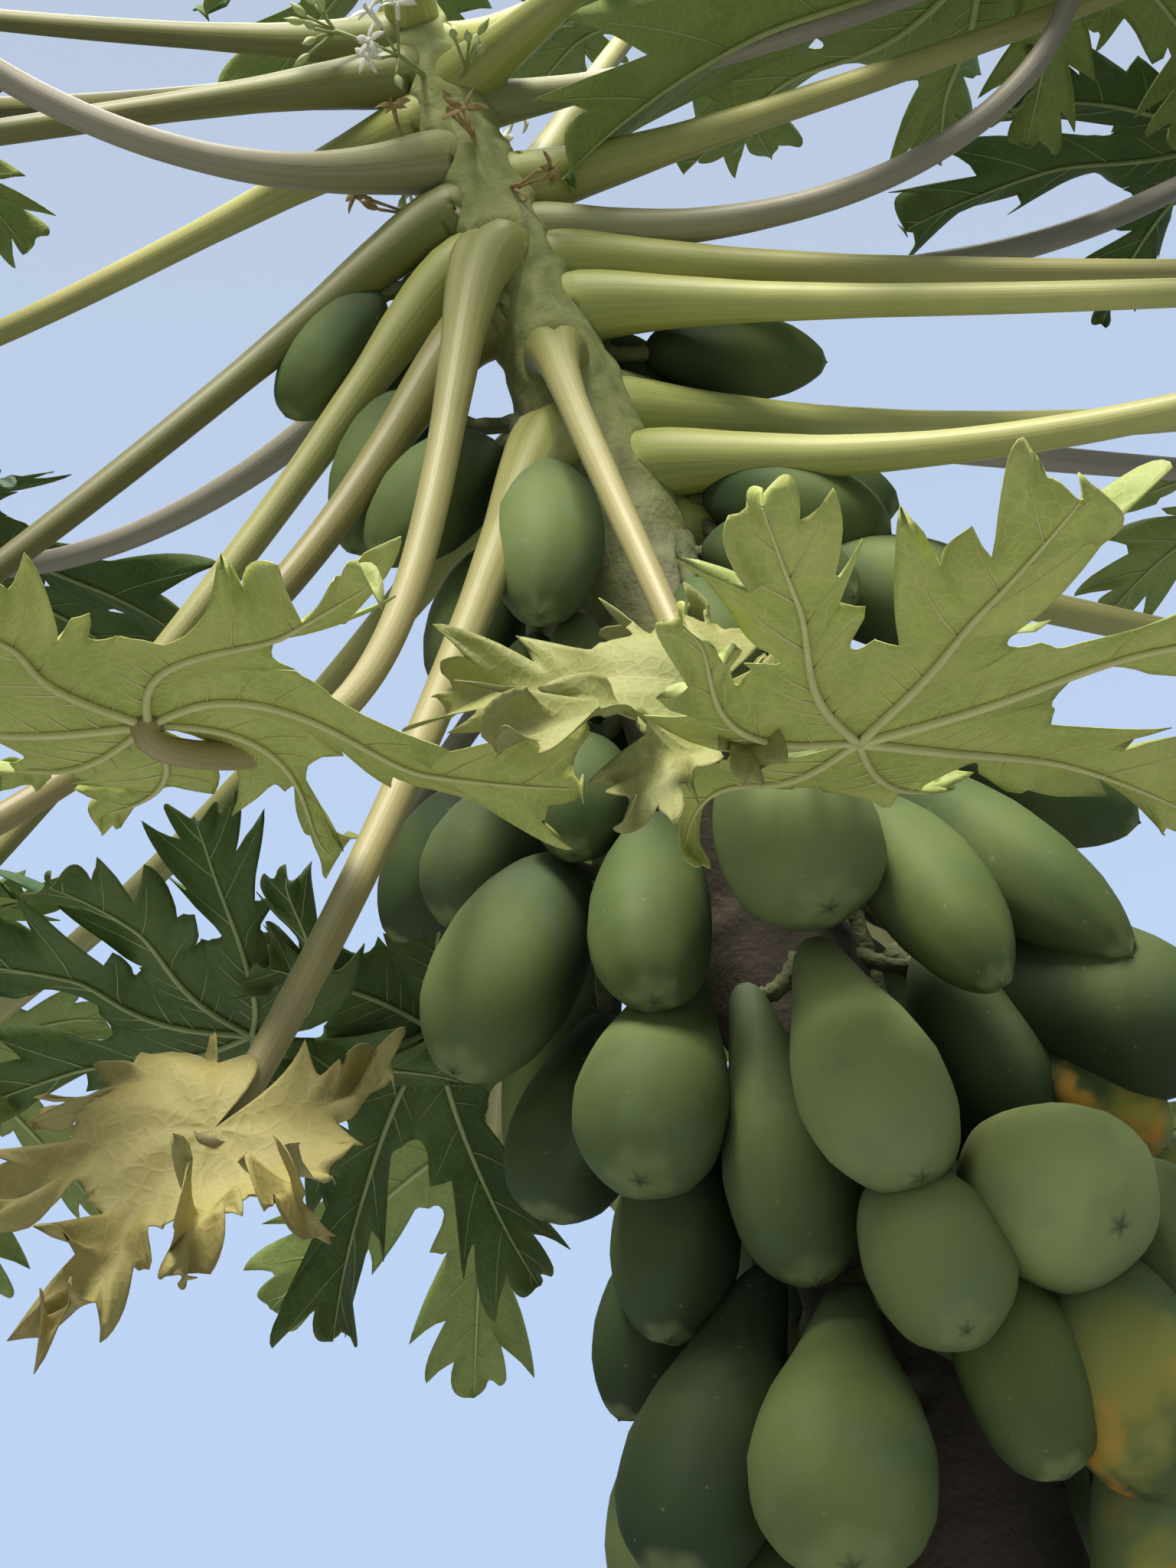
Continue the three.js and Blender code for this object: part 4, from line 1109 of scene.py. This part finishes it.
# %% The master fruit
MASTER_RADIUS = 0.5
NIPPLE_BELOW = -0.485
NIPPLE_LENGTH = 0.012
bpy.ops.object.select_all(action="DESELECT")
bpy.ops.mesh.primitive_uv_sphere_add(segments=32, ring_count=26, radius=MASTER_RADIUS, location=(0, 0, 0))
master = bpy.context.object
master.name = "fruit_master"
bpy.ops.object.mode_set(mode="EDIT")
bpy.ops.mesh.select_all(action="DESELECT")
bpy.ops.object.mode_set(mode="OBJECT")
for vertex in master.data.vertices:
    vertex.select = vertex.co.z < NIPPLE_BELOW
bpy.ops.object.mode_set(mode="EDIT")
bpy.ops.transform.translate(value=(0, 0, -NIPPLE_LENGTH), use_proportional_edit=True, proportional_size=0.06,
                            proportional_edit_falloff="SHARP")
bpy.ops.object.mode_set(mode="OBJECT")
unit_fruit = np.array([vertex.co[:] for vertex in master.data.vertices])
unit_faces = [list(face.vertices) for face in master.data.polygons]
bpy.data.objects.remove(master)
print("master fruit faces:", len(unit_faces))

# %% Fruit rows
# A bunch is its root's station and bearing, and a row for each fruit: station, bearing, distance
# from the trunk's centre line, tilt, length and width. Lengths are in millimetres.
FRONT_BUNCHES = [
    ([3500, 146], [[3405, 175, 190, 49, 160, 80], [3370, 155, 150, 40, 150, 75]]),
    ([3260, -165], [[3170, -165, 160, 52, 180, 95], [3060, 180, 150, 30, 160, 90],
                    [2960, -165, 130, 20, 110, 65], [3250, 178, 185, 32, 180, 90]]),
    ([3180, -150], [[3050, -128, 140, 28, 220, 100], [2940, -135, 120, 10, 100, 60],
                    [2810, -143, 160, 24, 130, 86]]),
    ([3350, 30], [[3300, 15, 180, 78, 180, 85], [3320, 42, 120, 50, 140, 80]]),
    ([3150, -4], [[3060, -14, 150, 50, 180, 90], [2965, -10, 190, 56, 200, 105], [2785, 8, 260, 55, 215, 96],
                  [3130, 8, 170, 62, 200, 95]]),
    ([3080, -38], [[2980, -38, 130, 40, 170, 90], [2900, -83, 140, 15, 130, 70],
                   [2665, -89, 225, 14, 175, 126]]),
    ([2740, -68], [[2605, -63, 205, 21, 235, 92], [2650, -31, 205, 29, 285, 94],
                   [2530, -25, 130, 5, 190, 104]]),
    ([2940, 180], [[2842, 177, 195, 44, 165, 102], [2885, 160, 250, 52, 165, 92],
                   [2585, -185, 195, 32, 185, 106]]),
    ([2790, -165], [[2695, -164, 225, 40, 230, 120], [2670, -126, 175, 28, 220, 98],
                    [2540, -137, 185, 33, 235, 120]]),
    ([2650, -18], [[2530, -18, 225, 42, 230, 130], [2475, -12, 195, 30, 165, 92],
                   [2385, 5, 215, 2, 190, 110]]),
    ([2630, -91], [[2478, -90, 203, 22, 265, 112], [2478, -120, 125, 11, 275, 104],
                   [2318, -91, 200, 35, 190, 108]]),
    ([2570, -160], [[2440, -162, 160, 22, 185, 102], [2400, -183, 180, 36, 175, 96],
                    [2280, -155, 180, 34, 280, 122]]),
    ([2440, -40], [[2345, -64, 220, 45, 170, 135], [2300, -34, 215, 25, 210, 130],
                   [2215, -51, 190, 5, 215, 124]]),
    ([2370, -119], [[2235, -121, 160, 32, 275, 136], [2240, -76, 165, 10, 190, 98],
                    [2080, -45, 155, 0, 215, 126], [2125, -172, 160, 20, 215, 122]])]
# Bunches at the back: the front bunch whose rows are used again, its turn and its drop.
BACK_BUNCHES = [(2, 178, 40), (5, 176, 50), (6, 184, -30), (8, 184, 30), (10, 192, -20), (11, 186, -30),
                (12, 188, 40), (13, 170, -10)]
ROOT_UNITS = np.array([.001, 1])
FRUIT_UNITS = np.array([.001, 1, .001, 1, .001, .001])
bunches = [(np.array(root) * ROOT_UNITS, np.array(fruits) * FRUIT_UNITS) for root, fruits in FRONT_BUNCHES]
for source, turn_by, drop in BACK_BUNCHES:
    root, fruits = bunches[source]
    move = np.array([-drop * .001, turn_by])
    moved = fruits.copy()
    moved[:, :2] += move
    bunches.append((root + move, moved))
print("bunches:", len(bunches), "fruits:", sum(len(fruits) for _, fruits in bunches))


# %% Fruit finish
def fruit_finish(name, first, second, bloom, belly, dark):
    """Fruit skin: two greens, bloom at the stem end, a paler belly, painted light on some fruits, painted shade
    on the far side and underside, and specks.
    """
    finish = Finish(name, first, second, scale=9, low=.3, high=.7, rough=.66)
    finish.shader.inputs["Specular IOR Level"].default_value = .2
    finish.patches(belly, "belly", .8, Scale=8, Low=.15, High=.6)
    finish.patches(bloom, "bloom", .8, Scale=16, Low=.3, High=.7, Detail=6)
    finish.patches((.30, .34, .09), "blush", Scale=10, Low=.25, High=.6)
    # Painted light: fruits that stand out in front are made paler by their "pale" field.
    finish.over((.37, .43, .17), finish.field("pale"))
    finish.over(bloom, finish.mask(mottle, .35, Scale=24, Low=.50, High=.70, Detail=8))
    finish.over(dark, finish.mask(streaks, .32, Across=11, Along=1.3, Low=.52, High=.74))
    # Painted shade: the dark colour laid over by the "shade" field, towards the trunk, underneath, away from
    # the key lamp and on fruits given a share of their own.
    finish.over(dark, finish.field("shade", 0, 1, .85))
    finish.patches((.46, .40, .07), "orange", share=.85, Scale=13, Low=.44, High=.60)
    finish.patches((.62, .30, .040), "orange", share=.9, Scale=17, Low=.54, High=.64)
    finish.over((.30, .33, .17), finish.mask(flecks, .5, Scale=95, Share=.22, Size=.18))
    finish.over((.34, .30, .17), finish.mask(flecks, .7, Scale=34, Share=.12, Size=.10))
    finish.over((.30, .31, .16), finish.mask(streaks, .22, Across=16, Along=1.4, Low=.60, High=.72))
    finish.over((.22, .27, .11), finish.field("tipmark", .10, .55, .55))
    finish.over((.050, .060, .032), finish.field("tipmark", .80, 1.0, .75))
    finish.bump(finish.mask(mottle, Scale=38, Low=.2, High=.8), .10, .002)
    finish.bump(finish.mask(mottle, Scale=300, Low=.3, High=.7), .08, .0006)
    return finish.done()


FRUIT_SKIN = fruit_finish(
    "fruit_skin", (.092, .140, .052), (.122, .175, .068), bloom=(.205, .265, .17), belly=(.18, .24, .088),
    dark=(.024, .042, .021))
YOUNG_SKIN = fruit_finish(
    "young_fruit_skin", (.072, .115, .038), (.098, .145, .048), bloom=(.125, .175, .09), belly=(.12, .17, .058),
    dark=(.026, .045, .022))
# The fruit stalks' greens are darker than their own: partly their colour, partly painted shade among the fruit.
rod_finish = Finish("fruit_stalk_finish", (.11, .13, .050), (.16, .175, .075), scale=60, rough=.75)
rod_finish.over((.15, .13, .07), rod_finish.mask(flecks, .7, Scale=110, Share=.3, Size=.35))
rod_finish.bump(rod_finish.mask(mottle, Scale=120, Low=.3, High=.7), .7, .002)
ROD_FINISH = rod_finish.done()
print("fruit skins:", FRUIT_SKIN.name, YOUNG_SKIN.name)

# %% How single fruits differ
# The next tables name fruits by (bunch, fruit). Orange share of the ripening ones, where more
# than 1 brings it nearer to the stem, and the yellow blush of others.
ORANGE = {(13, 3): .7, (14, 3): 1.0, (10, 3): 3.0, (10, 2): .95, (20, 2): .7}
BLUSH = {(13, 1): 1, (14, 1): .5, (14, 2): .5, (14, 3): .35, (14, 4): .45, (13, 3): .35, (13, 2): .4,
         (7, 1): .3, (11, 3): .3, (6, 3): .2, (10, 3): .8}
# How much painted shade darkens some fruits, under the others or on the far side of the bunches, and
# how much painted light brightens some that stand out in front.
PAINTED_SHADE_SHARE = {(12, 3): .85, (12, 1): .55, (12, 2): .75, (8, 3): .55, (10, 1): .55, (10, 2): .4, (13, 2): .5,
        (8, 1): .4, (8, 2): .6, (3, 3): .15, (7, 3): .4, (11, 2): .15, (13, 3): .2, (14, 4): .5, (14, 2): .15}
PAINTED_LIGHT_SHARE = {(11, 1): .8, (13, 1): .85, (6, 3): .3, (11, 3): .3, (14, 1): .1}
# Above 0 a fruit is more like a pear, with a narrow neck, and below 0 it is more like a drop.
SHAPE = {(11, 1): .8, (11, 2): 1, (14, 1): .9, (9, 3): .6, (12, 3): .8, (7, 1): -.8, (7, 2): -.8, (5, 3): -.6,
         (9, 1): -.3, (9, 2): -.2, (14, 2): -.4, (6, 3): 0, (13, 1): .3}
print("ripening fruits:", len(ORANGE), "with a blush:", len(BLUSH), "dark:", len(PAINTED_SHADE_SHARE), "pale:", len(PAINTED_LIGHT_SHARE))


# %% One fruit from the master
# Half widths of three outlines at these shares of the length, from the stem end to the tip.
PROFILE_AT = np.array([0, .02, .06, .14, .28, .45, .62, .78, .89, .95, .985, 1.0])
OVAL = np.array([.02, .25, .42, .62, .84, .97, 1.0, .93, .73, .48, .22, .0])
PEAR = np.array([.02, .20, .30, .38, .54, .83, 1.0, .95, .75, .49, .22, .0])
DROP = np.array([.02, .25, .44, .66, .88, 1.0, .96, .78, .53, .33, .17, .0])
# Fruits narrower than this are young: darker, more ridged and never like a pear.
YOUNG_BELOW = 0.1


def fruit_points(length, width, young, shape, rng):
    """The master fruit at its own size, with z from the stem end to the tip."""
    share = .5 - unit_fruit[:, 2] / (2 * MASTER_RADIUS)
    around_it = np.arctan2(unit_fruit[:, 1], unit_fruit[:, 0])
    profile = OVAL + (PEAR - OVAL) * max(0, shape) + (DROP - OVAL) * max(0, -shape)
    polar = np.hypot(unit_fruit[:, 0], unit_fruit[:, 1])
    even = .03 * np.clip(6 * np.minimum(share, 1 - share), 0, 1)
    steps = (-1, -.5, 0, .5, 1)
    radius = sum(np.interp(share + even * step, PROFILE_AT, profile) for step in steps) / len(steps) * width / 2
    ridge = (.05 if young else .028) * (.35 + .65 * np.abs(2 * share - 1))
    radius = radius * (1 + ridge * np.cos(5 * around_it + rng.uniform(0, 6))) * np.where(polar < 1e-6, 0, 1)
    crease = .16 * np.exp(-((1 - share) / .035) ** 2)
    radius = radius * (1 + crease * np.cos(5 * around_it))
    bend = rng.uniform(-.04, .04) * length * np.sin(share * np.pi)
    points = [radius * np.cos(around_it) + bend, radius * np.sin(around_it), (share - .5) * length]
    return np.stack(points, -1), share, around_it


def make_fruit(name, fruit, blush, orange, shape, dark, pale, rng):
    """A fruit in its place, with the numbers that its skin reads."""
    station, bearing, distance, tilt, length, width = fruit
    out = outwards(station, bearing)
    axis = -trunk_axis(station) * math.cos(math.radians(tilt)) + out * math.sin(math.radians(tilt))
    centre = around(station, bearing, distance)
    side = np.cross(trunk_axis(station), out)
    lift = np.cross(axis, side)
    young = width < YOUNG_BELOW
    points, share, around_it = fruit_points(length, width, young, shape, rng)
    world_points = centre + points @ np.stack([side, lift, axis])
    away = unit(world_points - centre)
    # Painted shade for the "shade" field: darker on the side towards the trunk, underneath and on the side away
    # from the key lamp. The "pale" field is painted light.
    shade_towards_trunk = np.clip(.15 - .9 * away @ outwards(station, bearing), 0, 1)
    below = np.clip(-away[:, 2] - .2, 0, 1)
    shade_away_from_key = np.clip(.75 * away[:, 0] - .5 * away[:, 2] - .3, 0, 1)
    fields = {
        "blush": blush * np.clip(.35 + .8 * share, 0, 1),
        "orange": orange * np.clip(share * 2.4 - .5 + max(0, orange - 1), 0, 1),
        "pale": pale + 0 * share,
        "belly": np.clip(1.25 - np.abs(share - .55) * 3.2, 0, 1),
        "bloom": np.clip(1.1 - share * 2.6, 0, 1),
        "shade": np.clip(dark + shade_towards_trunk + .35 * below + .6 * shade_away_from_key, 0, 1),
        "tipmark": np.clip((share + .006 * np.cos(5 * around_it) - .945) / .05, 0, 1)}
    item = new_object(name, world_points, unit_faces, fields, YOUNG_SKIN if young else FRUIT_SKIN)
    return item, centre - axis * length / 2, axis


# %% Bunches
FORK_AT = 0.4
ROD_RADIUS = 0.0075
ROD_SAG = 0.012
BUNCH_SEED = 500


def rod(name, start, finish_at, rng):
    """A knobbly fruit stalk between two points, sagging a little."""
    share = np.linspace(0, 1, 14)
    path = start + (finish_at - start) * share[:, None]
    path[:, 2] -= ROD_SAG * np.sin(share * np.pi)
    knobs = .16 * np.sin(share * 34 + rng.uniform(0, 6))
    radii = ROD_RADIUS * (1 + knobs + .5 * np.exp(-share / .08) + .25 * np.exp((share - 1) / .06))
    return tube(name, path, radii, 9)


def make_bunch(number, root, fruits):
    """A bunch as one piece: its fruits and their forked stalk."""
    rng = np.random.default_rng(BUNCH_SEED + number)
    parts, stems = [], []
    for index, fruit in enumerate(fruits):
        key = (number, index + 1)
        by_chance = rng.uniform(-.7, .5) if fruit[5] > YOUNG_BELOW else rng.uniform(-1, -.5)
        item, stem, axis = make_fruit(
            f"fruit_{number}_{index}", fruit, BLUSH.get(key, .25), ORANGE.get(key, 0),
            SHAPE.get(key, by_chance), PAINTED_SHADE_SHARE.get(key, 0), PAINTED_LIGHT_SHARE.get(key, 0), rng)
        parts.append(item)
        stems.append((stem, axis))
    start = around(root[0], root[1], girth(root[0]) - .014)
    fork = start + (stems[0][0] - start) * FORK_AT
    for index, (stem, axis) in enumerate(stems):
        item = rod(f"rod_{number}_{index}", start if index == 0 else fork, stem + axis * .012, rng)
        item.data.materials.append(ROD_FINISH)
        parts.append(item)
    name = f"fruit_bunch_{number:02d}"
    whole = join(parts, name + "_dressed")
    bpy.ops.object.mode_set(mode="EDIT")
    bpy.ops.mesh.select_all(action="SELECT")
    bpy.ops.mesh.normals_make_consistent(inside=False)
    bpy.ops.object.mode_set(mode="OBJECT")
    bpy.ops.object.shade_smooth()
    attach(whole, "root")
    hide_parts(name)
    return whole


bunch_pieces = [make_bunch(number + 1, root, fruits) for number, (root, fruits) in enumerate(bunches)]
print("bunch faces in all:", sum(len(piece.data.polygons) for piece in bunch_pieces))

# %% [markdown]
# ## Flowers
#
# Small clusters of buds and of white flowers with five narrow petals stand in the angles of the
# topmost stalks, and dried ones are left lower down. They are too small for modelling one by one,
# so a cluster is a short branching stalk with its heads turned by chance, and each bud, tube or
# petal is a skin over a few rings, flattened for a petal.

# %% Buds, petals and flowers
FLOWER_COLOURS = {
    "stem": [(.24, .29, .10), (.32, .35, .14), .6], "bud": [(.36, .43, .17), (.48, .52, .25), .5],
    "petal": [(.74, .73, .60), (.82, .80, .70), .5], "dried": [(.26, .17, .06), (.42, .32, .14), .85]}
FLOWER_FINISHES = {
    kind: Finish(f"flower_{kind}_finish", first, second, scale=120, rough=rough).done()
    for kind, (first, second, rough) in FLOWER_COLOURS.items()}
print("flower finishes:", list(FLOWER_FINISHES))


def along_line(name, start, axis, length, girths, material, flat=1.0, bend=(0, 0, 0)):
    """A closed skin from start along an axis, with radii given at even steps."""
    rows = len(girths)
    share = np.linspace(0, 1, rows)
    path = start + axis * length * share[:, None] + np.array(bend) * (share ** 2)[:, None]
    heading = unit(np.gradient(path, axis=0))
    side = unit(np.cross(heading, direction(37.0, 12.0)))
    lift = np.cross(heading, side)
    angle = 2 * np.pi * np.arange(7) / 7
    item = skin(name, rings_along(path, np.array(girths)[:, None], angle, side, lift, flat))
    item.data.materials.append(FLOWER_FINISHES[material])
    return item, path[-1]


def make_flower(name, start, axis, rng, opened, dried):
    """A flower's tube with its petals, or a bud."""
    size = rng.uniform(.85, 1.15)
    if not opened:
        item, _ = along_line(name + "_bud", start, axis, .019 * size,
                             [.0008, .0028, .0040, .0042, .0034, .0016, .0004], "dried" if dried else "bud")
        return [item]
    kind = "dried" if dried else "petal"
    item, mouth = along_line(name + "_tube", start, axis, .021 * size,
                             [.0012, .0026, .0024, .0026, .0032, .0034], kind)
    parts = [item]
    side = unit(np.cross(axis, direction(20.0, 40.0)))
    lift = np.cross(axis, side)
    for number in range(5):
        turn = 2 * math.pi * number / 5 + rng.uniform(-.15, .15)
        out = side * math.cos(turn) + lift * math.sin(turn)
        petal, _ = along_line(
            f"{name}_petal_{number}", mouth - axis * .003, unit(out + axis * .55), .022 * size,
            [.0010, .0030, .0042, .0040, .0028, .0008], kind, flat=.16, bend=-axis * .009 + out * .002)
        parts.append(petal)
    return parts


# %% Clusters of flowers
CLUSTER_SEED = 800


def make_cluster(number, station, bearing, rise, length, heads, opened, dried=False):
    """A branching stalk with buds and flowers at its ends."""
    rng = np.random.default_rng(CLUSTER_SEED + number)
    base = around(station, bearing, girth(station) - .004)
    axis = direction(float(bearing), float(rise))
    parts = []
    kind = "dried" if dried else "stem"
    item, fork = along_line(
        f"cluster_{number}", base, axis, length, [.0036, .0032, .0028, .0027, .0026], kind, bend=(0, 0, -.010))
    parts.append(item)
    for head in range(heads):
        spread = unit(axis + rng.normal(0, .55, 3))
        branch, end = along_line(
            f"cluster_{number}_{head}", fork - axis * .004, spread, rng.uniform(.018, .042),
            [.0018, .0016, .0015, .0019], kind, bend=(0, 0, rng.uniform(-.008, .004)))
        parts.append(branch)
        facing = unit(spread + rng.normal(0, .3, 3))
        parts += make_flower(f"flower_{number}_{head}", end, facing, rng, head < opened, dried)
    return parts


# Columns: station, bearing, rise, length of the stalk, heads, how many of them are open, dried.
CLUSTERS = [
    (3.700, -150, 14, .085, 7, 0, False), (3.662, -118, -2, .060, 6, 4, False),
    (3.735, -82, 34, .055, 6, 2, False),
    (3.640, -72, 8, .040, 5, 0, False), (3.600, -150, -14, .040, 3, 1, True),
    (3.575, -84, 4, .016, 3, 1, True),
    (3.500, -62, 0, .018, 3, 1, True), (3.690, -30, 26, .050, 4, 1, True), (3.690, 60, 20, .070, 6, 3, False),
    (3.640, 120, 4, .060, 6, 3, False), (3.590, 30, 0, .040, 4, 0, False), (3.540, 170, -8, .040, 4, 1, True)]
flower_parts = []
for number, (station, bearing, rise, length, heads, opened, dried) in enumerate(CLUSTERS):
    flower_parts += make_cluster(number, station, bearing, rise, length, heads, opened, dried)
flowers = join(flower_parts, "flowers")
bpy.ops.object.shade_smooth()
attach(flowers, "root")
print("flower faces:", len(flowers.data.polygons))
